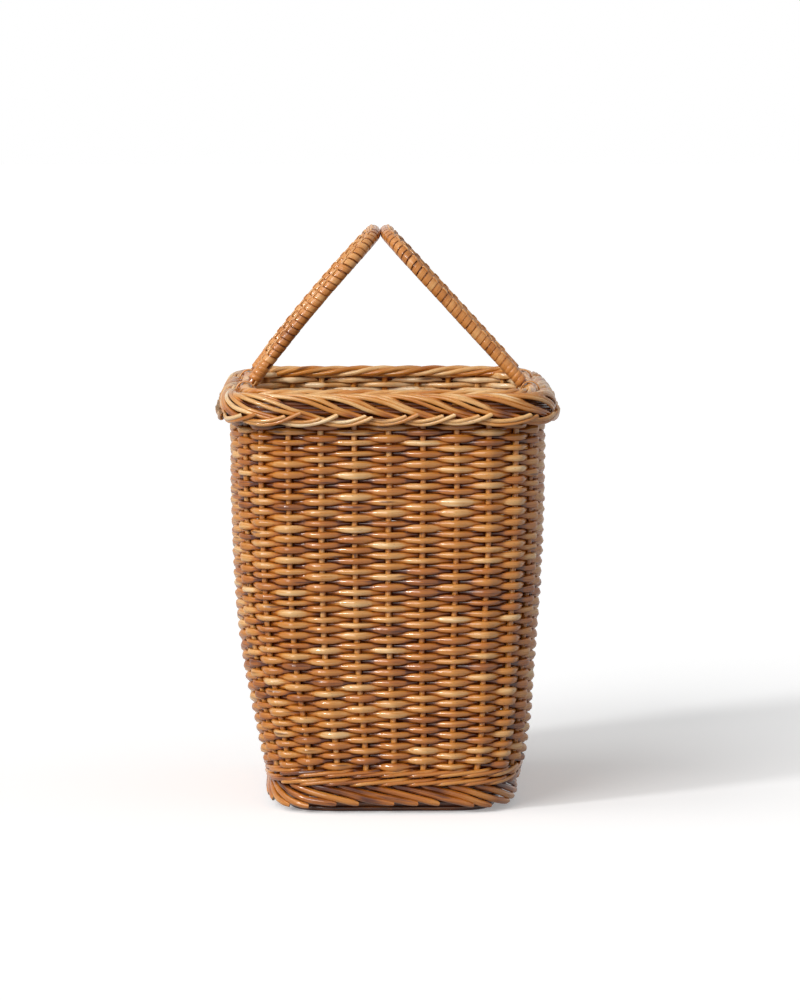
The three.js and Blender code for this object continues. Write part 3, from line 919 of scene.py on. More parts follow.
@dataclass
class WovenWall(Handwork):
    """Rows of single weavers, in front of one stake and behind the next.

    Attributes:
        swing: how far a row goes out of and into the line of the stakes.
        sharpness: 1 for straight runs between the stakes, less for rounder ones.
        crossing_half: half width of a row where it crosses from side to side.
        crown_half: half width of a row at its stakes.
        wander: how far a row strays up and down from stake to stake, and over longer runs.
    """

    finish: Material
    room: LegRoom
    bottom: float = FOOT_TOP + 14.9 * MM
    rows: int = 70
    rows_in_piece: int = 14
    steps: int = 12
    sides: int = 8
    swing: float = 4.55 * MM
    half_thick: float = 2.40 * MM
    crossing_half: float = 2.30 * MM
    crown_half: float = 2.90 * MM
    sharpness: float = 0.99
    wander: tuple[float, float] = (0.45 * MM, 0.3 * MM)
    seed: int = 23

    def build(self) -> None:
        """Makes the rows, in pieces from the foot to the rim."""
        for first in range(0, self.rows, self.rows_in_piece):
            last = min(first + self.rows_in_piece, self.rows)
            piece = RodPiece(f"weave_rows_{first + 1}_to_{last}", self.finish, Slot.WEAVE,
                             nodes=("wall_weave",), sides=self.sides)
            piece.add(*(self.row(index) for index in range(first, last)))
            piece.build()

    def row(self, index: int) -> Rod:
        """One row of the weave.

        Args:
            index: number of the row from the foot. It sets which stakes the row passes in front of.

        Returns:
            The closed rod of the row, which starts behind a stake.
        """
        stake = 1 - index % 2 + once_round(self.steps)[0]
        share = stake / STAKE_COUNT
        wave = np.cos(np.pi * (stake + index))
        tent = np.arcsin(self.sharpness * wave) / math.asin(self.sharpness)
        rods = self.rods_of_row(stake)
        z = self.bottom + (index + 0.5) * ROW_PITCH
        z = z + self.wander[0] * self.noise(40, share) + self.wander[1] * self.noise(9, share)
        swing = self.swing * (1.0 + 0.06 * self.noise(40, share))
        path, normals = OUTLINE.place(stake, z, -STAKE_INSET + swing * tent)
        path = self.room.lowered(path, Press.WALL)
        crown = np.clip(np.abs(tent) / 0.50, 0.0, 1.0)
        full = self.crown_half * rods["size"] * (1.0 + 0.10 * self.noise(40, share))
        wide = self.crossing_half + (full - self.crossing_half) * crown
        thick = self.half_thick * (0.88 + 0.12 * crown)
        tone = self.painted_shade_and_pale_inside(rods["tone"] + 0.11 * self.noise(40, share), tent)
        return Rod(path, normals, thick, wide, tone=tone, closed=True, flatness=0.86)

    def painted_shade_and_pale_inside(self, tone: Array, tent: Array) -> Array:
        """Paints shade into a row where it lies in shade: where it crosses between the rows, and on
        its side that faces out while it goes behind a stake. Also paints the inner faces paler:
        partly willow that the staining hardly reached, partly painted light on the shaded inside of
        the basket.

        Args:
            tone: tone at each ring.
            tent: 1 where the row is outside a stake, -1 where it is inside.

        Returns:
            Tone at each corner, as rings x sides.
        """
        angle = 2.0 * np.pi * np.arange(self.sides) / self.sides
        hidden = np.clip(0.12 - tent[:, None] * np.cos(angle)[None, :], 0.0, 1.0)
        crossing = 1.0 - np.clip(np.abs(tent) / 0.45, 0.0, 1.0)
        between = crossing[:, None] * np.sin(angle)[None, :] ** 2
        inside = np.clip(-1.5 * np.cos(angle), 0.0, 1.0)[None, :]
        # painted shade: the hidden side and the crossings are darkened as if in shade, less so on
        # the inner faces, which are painted paler, partly as painted light
        darkening = 0.60 * hidden**0.6 + 0.40 * between
        return tone[:, None] + 0.42 * inside - darkening * (1.0 - 0.80 * inside)

    def rods_of_row(self, stake: Array) -> dict[str, Array]:
        """Tone and size along a row, which is made of several tapering rods.

        Args:
            stake: places along the row.

        Returns:
            Arrays under the names tone and size.
        """
        tone, size = np.zeros_like(stake), np.ones_like(stake)
        at = stake[0]
        while at < stake[-1]:
            length = 2.0 * self.rng.integers(1, 5)
            inside = (stake >= at) & (stake <= at + length)
            taper = (stake[inside] - at) / length
            tone[inside] = np.clip(self.rng.normal(0.515, 0.15), 0.27, 0.92)
            size[inside] = self.rng.uniform(0.80, 1.14) * (1.05 - 0.10 * taper)
            at += length
        return {"tone": tone, "size": size}


@dataclass
class TwistedWales(Handwork):
    """Two rounds of three twisted rods above the foot: over two stakes and behind one.

    Attributes:
        middles: heights of the two rounds.
        radius: half thickness of a rod.
        rise: half of a rod's climb while it runs over its two stakes.
        depth: how far a rod lies behind the line of the stakes.
        reach: how far it comes out again from there.
        fall: how much of that it loses with each stake.
        filling_half: half thickness and half width of the rod inside a round.
    """

    finish: Material
    middles: tuple[float, float] = (FOOT_TOP + 3.9 * MM, FOOT_TOP + 11.0 * MM)
    radius: float = 1.68 * MM
    rise: float = 2.8 * MM
    depth: float = 3.9 * MM
    reach: float = 8.8 * MM
    fall: float = 0.6 * MM
    filling_half: tuple[float, float] = (2.0 * MM, 3.4 * MM)
    steps: int = 12
    seed: int = 31

    def build(self) -> None:
        """Makes each round as one piece: a rod wound three times round, painted darker where it
        runs behind the stakes, over a filling rod in the darkest colour as painted shade between
        the rods.
        """
        stake = np.linspace(0.0, 3.0 * STAKE_COUNT, 3 * STAKE_COUNT * self.steps + 1)
        phase = np.mod(stake, 3.0)
        share = stake / (3.0 * STAKE_COUNT)
        front = ease(0.12, 0.80, phase) * (1.0 - ease(2.20, 2.88, phase))
        climb = np.interp(phase, (0.0, 0.3, 2.7, 3.0), (0.0, -1.0, 1.0, 0.0))
        outset = -STAKE_INSET - self.depth + front * (self.reach - self.fall * phase)
        once, _ = once_round(self.steps)
        for node, middle in zip(("lower_wale", "upper_wale"), self.middles):
            piece = RodPiece(f"{node}_rods", self.finish, Slot.FOOT, (node,))
            z = middle + self.rise * climb + 0.3 * MM * self.noise(90, share)
            path, normals = OUTLINE.place(stake, z, outset)
            radius = self.radius * (1.0 + 0.08 * self.noise(60, share))
            # painted shade: the rod is darkened where it runs behind the stakes
            tone = 0.38 + 0.26 * self.noise(34, share) - 0.60 * (1.0 - front)
            piece.add(Rod(path, normals, radius, 1.05 * radius, tone=tone, closed=True))
            inset = np.full_like(once, -STAKE_INSET)
            path, normals = OUTLINE.place(once, np.full_like(once, middle), inset)
            # painted shade: the filling rod gets the darkest colour, as the shade seen between the
            # rods
            piece.add(Rod(path, normals, *self.filling_half, tone=0.0, closed=True))
            piece.build()


@dataclass
class FootBorder(Handwork):
    """Stake ends laid down to the right, one over the next, that the basket stands on.

    Attributes:
        half_thick: half thickness of a stake end.
        half_wide: half width of a stake end.
        tip_taper: how the last rings of an end narrow.
        rounds: outset and height of the rods inside the border, in millimetres; they are painted
            dark as the deep shade under the foot.
        round_radius: half thickness of these rods.
        corner_sag: how far the ends sink at the corners, in millimetres.
    """

    finish: Material
    half_thick: float = 2.45 * MM
    half_wide: float = 2.70 * MM
    tip_taper: Triple = (0.97, 0.88, 0.66)
    rounds: tuple[tuple[float, float], ...] = (
        (-17.0, 2.7), (-16.0, 7.3), (-14.4, 11.8), (-12.8, 16.2), (-11.6, 20.6),
    )
    round_radius: float = 2.6 * MM
    corner_sag: float = 3.0
    rings: int = 36
    steps: int = 8
    seed: int = 41

    def build(self) -> None:
        """Makes the laid stake ends and the rounds inside them as one piece."""
        piece = RodPiece("foot_border_rods", self.finish, Slot.FOOT, ("foot_border",), sides=10)
        top = FOOT_TOP / MM
        for stake in range(STAKE_COUNT):
            reach = self.rng.uniform(-0.20, 0.20)
            drop = self.rng.uniform(-0.6, 0.6)
            points = [
                (0.0, top + 13.0, -6.5), (0.0, top + 4.0, -6.5), (0.08, top + 0.4, -6.2),
                (0.60, top - 2.6 + drop, -5.4), (1.30, top - 6.4 + drop, -3.8),
                (2.05, top - 10.4, -2.2), (2.80 + reach, top - 13.8, -1.3),
            ]
            line = smooth_path(points, self.rings)
            places = stake + line[:, 0]
            z = line[:, 1] - self.sag(places) * ease(top, top - 15.0, line[:, 1])
            path, normals = OUTLINE.place(places, z * MM, line[:, 2] * MM)
            taper = np.linspace(0.92, 1.04, self.rings)
            taper[-len(self.tip_taper):] *= self.tip_taper
            tone = self.rng.uniform(0.16, 0.46) + 0.10 * self.noise(9, along_rod(self.rings))
            # painted shade: an end is darkened where it runs up behind the wale
            tone = tone - 0.35 * ease(-4.0, -6.4, line[:, 2])
            thick, wide = self.half_thick * taper, self.half_wide * taper
            piece.add(Rod(path, normals, thick, wide, tone=tone, slant=0.8))
        stake, share = once_round(self.steps)
        for outset, z in self.rounds:
            path, normals = OUTLINE.place(stake, (z + 0.1 * self.noise(40, share)) * MM,
                                          (outset + 0.5 * self.noise(40, share)) * MM)
            radius = self.round_radius
            # painted shade: the rounds get the darkest colour, as the deep shade under the foot
            piece.add(Rod(path, normals, radius, radius, tone=0.02, closed=True))
        piece.build()

    def sag(self, stake: Array) -> Array:
        """How far the laid ends sink to the floor.

        Args:
            stake: places round the basket, in stakes.

        Returns:
            Distances in millimetres, most at the corners.
        """
        _, normals = OUTLINE.place(stake, np.zeros_like(stake), np.zeros_like(stake))
        corner = 2.0 * np.abs(normals[:, 0] * normals[:, 1])
        return self.corner_sag * ease(0.0, 0.8, corner)


@dataclass
class WovenBase(Handwork):
    """Base of lengthwise sticks with weavers across them, over one and under the next.

    Attributes:
        middle: height of the sticks.
        inset: distance of the base's outline inside the outer face of the wall.
        sticks_beside: sticks on each side of the middle one.
        outline_drop: how far under the sticks that face is measured.
        weaver_half: half thickness of a weaver.
        weaver_wide: half width of a weaver between two sticks, and what it gains on them.
        weaver_lift: how far a weaver goes over and under the sticks.
        sharpness: 1 for straight runs between the sticks, less for rounder ones.
        wander: how far a weaver strays to the side.
    """

    finish: Material
    stick_finish: Material
    middle: float = FOOT_TOP + 5.3 * MM
    inset: float = 9.6 * MM
    sticks_beside: int = 3
    stick_spacing: float = 24.0 * MM
    stick_radius: float = 2.4 * MM
    weaver_half: float = 1.65 * MM
    weaver_pitch: float = 4.4 * MM
    weaver_wide: tuple[float, float] = (1.9 * MM, 0.45 * MM)
    weaver_lift: float = 3.2 * MM
    sharpness: float = 0.95
    wander: float = 0.3 * MM
    outline_drop: float = 5 * MM
    stick_rings: int = 24
    weaver_rings: int = 56
    seed: int = 53

    def half_run(self, across: float, reach: tuple[float, float]) -> float:
        """Half length of the base's outline beside its middle line.

        Args:
            across: distance from the middle line.
            reach: half size measured along that distance, and half size along the run.

        Returns:
            Half the run at that distance.
        """
        share = max(0.0, 1.0 - (abs(across) / reach[0]) ** WALL_SQUARENESS)
        return reach[1] * share ** (1.0 / WALL_SQUARENESS)

    def build(self) -> None:
        """Makes the sticks and the weavers as two pieces."""
        width, length = OUTLINE.half_sizes(np.array([self.middle - self.outline_drop]))
        half = (float(width[0]) - self.inset, float(length[0]) - self.inset)
        lean = float(OUTLINE.lean(np.array(self.middle)))
        sticks = RodPiece("base_sticks", self.stick_finish, Slot.STAKES,
                          nodes=("base_stick_1", "base_stick_2", "base_stick_3"))
        for number in range(-self.sticks_beside, self.sticks_beside + 1):
            x = number * self.stick_spacing
            run = self.half_run(x, half)
            y = np.linspace(-run, run, self.stick_rings)
            path = np.stack([np.full_like(y, x + lean), y, np.full_like(y, self.middle)], axis=1)
            up = np.tile((0.0, 0.0, 1.0), (len(y), 1))
            tone = self.rng.uniform(0.45, 0.7)
            sticks.add(Rod(path, up, self.stick_radius, self.stick_radius, tone=tone))
        sticks.build()
        weavers = RodPiece("base_weavers", self.finish, Slot.WEAVE, nodes=("woven_base",), sides=6)
        count = int(half[1] / self.weaver_pitch)
        for row in range(-count, count + 1):
            y = row * self.weaver_pitch
            run = self.half_run(y, (half[1], half[0]))
            if run < self.stick_spacing:
                continue
            x = np.linspace(-run, run, self.weaver_rings)
            wave = np.cos(np.pi * x / self.stick_spacing + np.pi * row)
            tent = self.weaver_lift * np.arcsin(self.sharpness * wave) / math.asin(self.sharpness)
            wander = self.wander * self.rng.uniform(-1, 1, len(x)).cumsum() / 8
            path = np.stack([x + lean, y + wander, self.middle + tent], axis=1)
            up = np.tile((0.0, 0.0, 1.0), (len(x), 1))
            wide = self.weaver_wide[0] + self.weaver_wide[1] * np.abs(wave)
            # painted shade: a weaver is darker where it passes between the sticks
            tone = np.clip(self.rng.normal(0.55, 0.15), 0.2, 0.9) - 0.12 * (1.0 - np.abs(wave))
            weavers.add(Rod(path, up, self.weaver_half, wide, tone=tone))
        weavers.build()


@dataclass
class RimPlait(Handwork):
    """Plaited border that hangs over the rim, laid in groups of three rods.

    The rods of a group come over the rim and fall to the right under the tips of an earlier group.
    The upper one ends under the others, and the lower two turn up at the lower edge and end in cut
    tips over the groups that follow.

    Attributes:
        middle: outset and height of the middle of the band that the plait lies on.
        radii: half sizes of that band, outward and upward.
        sweep: angles of the band's lower edge, of its middle line and of its upper edge.
        groups: groups of rods round the rim.
        spacing: run of rim between two groups.
        half_band: half of the band's breadth, walked over its round.
        route: a group's places along the rim (in groups), heights on the band (-1 to 1) and lifts.
        tip_cuts: how far short of the route a group's rods end, from the lowest up, in groups.
        tuck: how deep the upper rod of a group goes under the others.
        fillings: outset, height over the wall and half thickness of the filling rods, in mm.
    """

    finish: Material
    room: LegRoom
    middle: tuple[float, float] = (-1.6 * MM, OUTLINE.wall_top + 13.2 * MM)
    radii: tuple[float, float] = (9.0 * MM, 13.0 * MM)
    sweep: Triple = (math.radians(-47.0), math.radians(14.0), math.radians(118.0))
    groups: int = 35
    spacing: float = 33.0 * MM
    half_band: float = 17.0 * MM
    rod_radius: float = 1.72 * MM
    lane_pitch: float = 3.25 * MM
    rings: int = 44
    route: tuple[Triple, ...] = (
        (-0.80, 1.02, -0.4 * MM), (-0.20, 0.90, 0.5 * MM), (0.50, 0.64, 0.9 * MM),
        (1.10, 0.34, 0.4 * MM), (1.60, 0.04, -0.8 * MM), (2.00, -0.26, -1.7 * MM),
        (2.35, -0.54, -0.9 * MM), (2.70, -0.66, 0.8 * MM), (3.05, -0.56, 2.0 * MM),
        (3.40, -0.32, 2.6 * MM), (3.66, -0.08, 2.7 * MM),
    )
    tip_cuts: tuple[float, ...] = (0.0, 0.20, 1.95)
    tuck: float = 2.6 * MM
    fillings: tuple[Triple, ...] = (
        (-3.8, 20.2, 3.0), (0.2, 13.9, 3.2), (0.8, 7.6, 3.1), (-1.4, 17.2, 2.8),
    )
    filling_steps: int = 8
    seed: int = 61

    def on_band(
        self, stake: Array, height: Array, lift: Array
    ) -> Pair:
        """Points over the band that the plait lies on.

        Args:
            stake: places round the basket, in stakes.
            height: -1 at the lower edge of the band to 1 at its upper edge.
            lift: distance out from the band.

        Returns:
            Points and the band's outward directions.
        """
        angle = np.interp(height, (-1.0, 0.0, 1.0), self.sweep)
        radii = (self.radii[0] + lift, self.radii[1] + lift)
        points, facing = OUTLINE.round_rim(stake, self.middle, radii, angle)
        return self.room.lowered(points, Press.PLAIT), facing

    def build(self) -> None:
        """Makes the groups and the filling rods as one piece."""
        piece = RodPiece("rim_plait_rods", self.finish, Slot.BORDER, nodes=("rim_plait",))
        for group in range(self.groups):
            shift, drop = self.rng.uniform(-0.11, 0.11), self.rng.uniform(-0.06, 0.06)
            for lane in range(len(self.tip_cuts)):
                piece.add(self.laid_rod(group + shift, lane, drop))
        piece.add(*self.filling())
        piece.build()

    def laid_rod(self, start: float, lane: int, drop: float) -> Rod:
        """One of the rods of a group.

        Args:
            start: place of the group round the rim, in groups.
            lane: number of the rod, from the lowest up.
            drop: how much lower the whole group lies, as a height on the band.

        Returns:
            The rod, which ends in a slanted cut.
        """
        place, height, lift = smooth_path(list(self.route), self.rings).T
        kept = place < place[-1] - self.tip_cuts[lane] - self.rng.uniform(-0.01, 0.12)
        place, height, lift = place[kept], height[kept] - drop, lift[kept]
        share = along_rod(len(place))
        along, up = np.gradient(place) * self.spacing, np.gradient(height) * self.half_band
        run = np.hypot(along, up)
        beside = lane - (len(self.tip_cuts) - 1) / 2.0
        offset = beside * self.lane_pitch * (1.0 + 0.10 * self.noise(7, share))
        offset = offset + 0.55 * MM * self.noise(6, share)
        tucked = self.tuck * ease(0.9, 1.6, place) * (lane > 1)
        uneven = lift - tucked + 0.35 * MM * self.noise(8, share)
        place = start + place - offset * up / run / self.spacing
        height = height + offset * along / run / self.half_band
        path, facing = self.on_band(place * STAKE_COUNT / self.groups, height, uneven)
        radius = self.rod_radius * self.rng.uniform(0.88, 1.08) * (1.04 - 0.10 * share)
        radius = radius * (1.0 - 0.75 * (tucked / self.tuck) ** 2)
        tone = np.clip(self.rng.normal(0.66, 0.14), 0.36, 0.95) + 0.10 * self.noise(8, share)
        # painted shade: a rod darkens where it sinks under the others
        tone = tone - 0.55 * ease(-0.4 * MM, -2.4 * MM, uneven)
        return Rod(path, facing, radius, 1.06 * radius, tone=tone, slant=0.9)

    def filling(self) -> list[Rod]:
        """Long rods deep under the plait, between the wall and the inner roll, in the darkest
        colour as painted shade in the holes between the groups.

        Returns:
            The closed rods.
        """
        rods = []
        stake, share = once_round(self.filling_steps)
        for outset, z, radius in self.fillings:
            height = np.full_like(stake, OUTLINE.wall_top)
            outsets = (outset + 0.3 * self.noise(30, share)) * MM
            path, normals = OUTLINE.place(stake, height, outsets, RIM_SQUARENESS)
            path[:, 2] += (z + 0.3 * self.noise(30, share)) * MM
            path = self.room.lowered(path, Press.PLAIT)
            # painted shade: the filling rods get the darkest colour
            rods.append(Rod(path, normals, radius * MM, radius * MM, tone=0.0, closed=True))
        return rods


@dataclass
class InnerRoll(Handwork):
    """Rope of four rods along the top of the rim, on which the handles swing.

    Attributes:
        middle: height of the rope.
        inset: distance of the rope from the outer face of the rim.
        twist_radius: distance of the rods from the middle of the rope.
        core_radius: half thickness of the rod inside the rope.
        twists: turns of the rope in once round the rim.
    """

    finish: Material
    middle: float
    inset: float = 13.0 * MM
    twist_radius: float = 2.85 * MM
    rod_radius: float = 2.05 * MM
    core_radius: float = 2.2 * MM
    strands: int = 4
    twists: int = 13
    steps: int = 12
    seed: int = 71

    def build(self) -> None:
        """Makes the twisted rods and the rod inside them as one piece."""
        piece = RodPiece("inner_roll_rods", self.finish, Slot.BORDER, ("rim_roll",))
        stake, share = once_round(self.steps)
        middle = (-self.inset, self.middle)
        for strand in range(self.strands):
            turn = 2.0 * np.pi * (self.twists * share + strand / self.strands)
            turn = turn + 0.22 * self.noise(40, share)
            radius = self.twist_radius + 0.25 * MM * self.noise(60, share)
            path, facing = OUTLINE.round_rim(stake, middle, (radius, radius), turn)
            thick = self.rod_radius * (1.0 + 0.10 * self.noise(50, share))
            tone = 0.62 + 0.26 * self.noise(17, share)
            piece.add(Rod(path, facing, thick, thick, tone=tone, closed=True))
        path, facing = OUTLINE.round_rim(stake, middle, (0.0, 0.0), np.zeros_like(stake))
        piece.add(Rod(path, facing, self.core_radius, self.core_radius, tone=0.1, closed=True))
        piece.build()


@dataclass
class WrappedHandle(Handwork):
    """A hoop handle: a willow core wrapped in flat cane, with lengthwise strips on its outer face.

    Attributes:
        name: start of the names of the handle's nodes, and its body.
        side: -1 for the left handle and 1 for the right one.
        hinge: height of the hinge line.
        across: distance of the hinge line from the middle.
        top: height of the top of the handles.
        meet_left: how far left of the middle the two handles meet.
        spacing: distance between the legs.
        bend: radius of the hoop's two corners.
        leg_bottom: where the legs start, measured from the hinge line.
        wrap_radius: distance of the wrapped cane from the middle of the hoop.
        wrap_outer: the same for the outer face of the wrap where the handles meet.
        clearance: gap that each handle keeps to where they meet.
        pitch: run of a turn of the wrap.
        binding: start and end of the foot bindings, measured from the hinge line.
        binding_rise: how far the binding goes on past its end, up to the wrap.
        wrap_gap: where the wrap starts, measured from the end of the binding.
        cane_half: half thickness of the cane of the wrap and of the bindings.
        strip_half: half thickness and half width of a lengthwise strip.
        strip_lift: how far a lengthwise strip goes over and under the wrap.
        strip_sink: how deep its ends lie under the binding.
        strip_tuck: run of these ends.
        strips: angle of each lengthwise strip on the hoop, and 1 if it goes over the turns that
            the others go under.
        loops: shift to the side, radius (both in millimetres) and tone of the loops of a foot.
        loop_half: half thickness and half width of the loops.
        bow: how far the hand-bent hoop stands outward half way up.
    """

    name: str
    side: int
    rod_finish: Material
    cane_finish: Material
    hinge: float
    across: float
    top: float
    meet_left: float = 5.5 * MM
    spacing: float = 160.0 * MM
    bend: float = 45.0 * MM
    leg_bottom: float = 8.0 * MM
    core_radius: float = 4.0 * MM
    wrap_radius: float = 4.90 * MM
    wrap_outer: float = 5.12 * MM
    pitch: float = 6.0 * MM
    clearance: float = 0.3 * MM
    binding: tuple[float, float] = (10.0 * MM, 26.0 * MM)
    binding_rise: float = 1.5 * MM
    binding_turns: float = 4.0
    binding_half_wide: float = 2.6 * MM
    wrap_gap: float = 2.0 * MM
    wrap_half_wide: float = 2.86 * MM
    cane_half: float = 0.55 * MM
    strip_half: tuple[float, float] = (0.42 * MM, 1.05 * MM)
    strip_lift: float = 0.90 * MM
    strip_sink: float = 0.45 * MM
    strip_tuck: float = 8.0 * MM
    strips: tuple[tuple[float, float], ...] = ((-0.55, 0.0), (0.0, 1.0), (0.55, 0.0))
    loops: tuple[Triple, ...] = (
        (-3.3, 7.75, 0.62), (-1.1, 7.55, 0.5), (1.1, 7.6, 0.68), (3.3, 7.8, 0.56),
    )
    loop_half: tuple[float, float] = (0.6 * MM, 1.15 * MM)
    bow: float = 0.0
    seed: int = 83

    def __post_init__(self) -> None:
        """Works out the lean and the runs of the hoop and its wrap from where the handles meet."""
        self.seed += self.side
        inward = self.across + self.side * self.meet_left - self.wrap_outer - self.clearance
        rise = self.top - self.wrap_outer - self.hinge
        self.lean = math.atan2(inward, rise)
        self.reach = math.hypot(inward, rise)
        self.leg_run = self.reach - self.bend - self.leg_bottom
        self.bend_run = self.bend * math.pi / 2.0
        self.run = 2.0 * (self.leg_run + self.bend_run) + self.spacing - 2.0 * self.bend
        self.wrap_start = self.binding[1] - self.leg_bottom + self.wrap_gap
        self.wrap_run = self.run - 2.0 * self.wrap_start
        self.turns = round(self.wrap_run / self.pitch)

    def to_frame(self, local: Array) -> Array:
        """Turns directions of the handle's own frame to its lean at rest.

        Args:
            local: directions, one row of three each.

        Returns:
            The same directions in the basket's frame.
        """
        sine, cosine = math.sin(self.lean), math.cos(self.lean)
        axes = np.array([
            (cosine, 0.0, self.side * sine), (0.0, 1.0, 0.0), (-self.side * sine, 0.0, cosine),
        ])
        return local @ axes

    def placed(self, local: Array) -> Array:
        """Points of the handle's own frame, set on the hinge line."""
        return self.to_frame(local) + np.array((self.side * self.across, 0.0, self.hinge))

    def hoop(self, walked: Array) -> Array:
        """Points of the hoop's centre line in the handle's own frame.

        Args:
            walked: length from the foot of the front leg.

        Returns:
            One row of three per length.
        """
        near = np.minimum(walked, self.run - walked)
        side = np.where(walked < self.run / 2.0, -1.0, 1.0)
        bend = np.clip((near - self.leg_run) / self.bend, 0.0, math.pi / 2.0)
        on_grip = np.maximum(near - self.leg_run - self.bend_run, 0.0)
        inward = self.bend * (1.0 - np.cos(bend)) + on_grip
        rise = self.leg_bottom + np.minimum(near, self.leg_run) + self.bend * np.sin(bend)
        outward = self.side * self.bow * np.sin(np.pi * rise / self.reach)
        return np.stack([outward, side * (self.spacing / 2.0 - inward), rise], axis=1)

    def beside(
        self, walked: Array, angle: Array, radius: Array
    ) -> Pair:
        """Points round the hoop.

        Args:
            walked: length along the hoop.
            angle: angle round the hoop, 0 on its outer face.
            radius: distance from the hoop's centre line.

        Returns:
            Points and the directions away from the hoop.
        """
        ahead, behind = self.hoop(walked + 0.1 * MM), self.hoop(walked - 0.1 * MM)
        tangent = (ahead - behind) / np.linalg.norm(ahead - behind, axis=1, keepdims=True)
        outer = np.tile((float(self.side), 0.0, 0.0), (len(tangent), 1))
        within = np.cross(tangent, outer)
        away = outer * np.cos(angle)[:, None] + within * np.sin(angle)[:, None]
        points = self.hoop(walked) + away * np.broadcast_to(radius, len(tangent))[:, None]
        return self.placed(points), self.to_frame(away)

    def build(self) -> None:
        """Makes the core, the wrap, the lengthwise strips, the foot bindings and the loops."""
        self.build_core()
        self.build_wrap()
        self.build_listing()
        for end, label in ((0, "front"), (1, "back")):
            self.build_foot(end, label)

    def cane_piece(self, label: str, node: str, sides: int = 8) -> RodPiece:
        """Starts a piece of cane that rides on the handle and stands for one of its nodes."""
        return RodPiece(f"{self.name}_{label}", self.cane_finish, Slot.HANDLE_CANE,
                        (f"{self.name}_{node}",), self.name, sides)

    def build_core(self) -> None:
        """Makes the bent willow rod inside the wrap."""
        core = RodPiece(f"{self.name}_rod", self.rod_finish, Slot.HANDLE_ROD,
                        (f"{self.name}_core",), self.name)
        walked = np.linspace(0.2 * MM, self.run - 0.2 * MM, 140)
        path, away = self.beside(walked, np.zeros_like(walked), np.zeros_like(walked))
        tone = 0.16 + 0.05 * self.rng.uniform()
        core.add(Rod(path, away, self.core_radius, self.core_radius, tone=tone))
        core.build()

    def build_wrap(self) -> None:
        """Winds one strip of cane round the hoop, from binding to binding."""
        wrap = self.cane_piece("cane_wrap", "wrap", sides=12)
        turns = self.turns
        wound = np.linspace(0.0, turns, turns * 16 + 1)
        share = wound / turns
        walked = self.wrap_start + self.wrap_run * share + 0.15 * MM * self.noise(turns, share)
        radius = self.wrap_radius + 0.12 * MM * self.noise(turns, share)
        path, away = self.beside(walked, 2.0 * np.pi * wound + np.pi, radius)
        wide = self.wrap_half_wide * (1.0 + 0.04 * self.noise(turns, share))
        tone = 0.56 + 0.20 * self.noise(turns, share) + 0.12 * self.noise(13, share)
        wrap.add(Rod(path, away, self.cane_half, wide, tone=tone, flatness=0.35))
        wrap.build()

    def build_listing(self) -> None:
        """Weaves the lengthwise strips through the wrap, over one turn and under the next."""
        listing = self.cane_piece("lengthwise_cane", "listing")
        start, turn_run = self.wrap_start, self.wrap_run / self.turns
        walked = np.arange(start - self.strip_tuck, self.run - start + self.strip_tuck, 0.5 * MM)
        free = ease(start - 3.0 * MM, start, np.minimum(walked, self.run - walked))
        share = walked / self.run
        for angle, first_over in self.strips:
            turn = (walked - start) / turn_run - (angle - np.pi) / (2.0 * np.pi)
            over = np.clip(2.2 * np.cos(np.pi * (turn + first_over)), -1.0, 1.0)
            lift = self.strip_lift * free * over
            radius = self.wrap_radius + lift - self.strip_sink * (1.0 - free)
            lean = angle + 0.04 * self.noise(31, share)
            path, away = self.beside(walked, lean, radius)
            # pale tone: paler cane, and in part a painted highlight that whitens the dashes along
            # the strips
            tone = 0.72 + 0.14 * self.noise(40, share)
            listing.add(Rod(path, away, *self.strip_half, tone=tone, flatness=0.7))
        listing.build()

    def build_foot(self, end: int, label: str) -> None:
        """Binds the foot of a leg and loops it round the inner roll.

        Args:
            end: 0 for the front leg and 1 for the back leg.
            label: front or back, for the piece's name.
        """
        piece = self.cane_piece(f"{label}_binding_cane", f"foot_binding_{label}")
        wound = np.linspace(0.0, self.binding_turns, 80)
        low = self.binding[0] - self.leg_bottom
        high = self.binding[1] - self.leg_bottom + self.binding_rise
        walked = low + (high - low) * wound / self.binding_turns
        walked = self.run - walked if end else walked
        radius = np.full_like(wound, self.wrap_radius)
        path, away = self.beside(walked, 2.0 * np.pi * wound + 2.0, radius)
        piece.add(Rod(path, away, self.cane_half, self.binding_half_wide, tone=0.52, flatness=0.45))
        middle = self.spacing / 2.0 * (1.0 if end else -1.0)
        angle = np.linspace(0.0, 2.0 * np.pi, 49)
        facing = np.stack([np.sin(angle), np.zeros_like(angle), np.cos(angle)], axis=1)
        for shift, size, tone in self.loops:
            local = size * MM * facing
            local[:, 1] = middle + shift * MM
            tones = tone + 0.1 * self.noise(7, angle / (2.0 * np.pi))
            piece.add(Rod(self.placed(local), self.to_frame(facing), *self.loop_half, tone=tones,
                          closed=True, flatness=0.85))
        piece.build()


@dataclass(frozen=True)
class SoftSun:
    """A wide, far lamp.

    Attributes:
        name: name of the lamp.
        stands: direction in which the lamp stands.
        angle: how wide the lamp looks.
        strength: strength of the lamp.
    """

    name: str
    stands: Triple
    angle: float
    strength: float

    def build(self) -> None:
        """Adds the lamp to the scene."""
        lamp = bpy.data.objects.new(self.name, bpy.data.lights.new(self.name, "SUN"))
        lamp.data.energy, lamp.data.angle = self.strength, self.angle
        lamp.rotation_euler = (-Vector(self.stands)).to_track_quat("-Z", "Y").to_euler()
        bpy.context.scene.collection.objects.link(lamp)


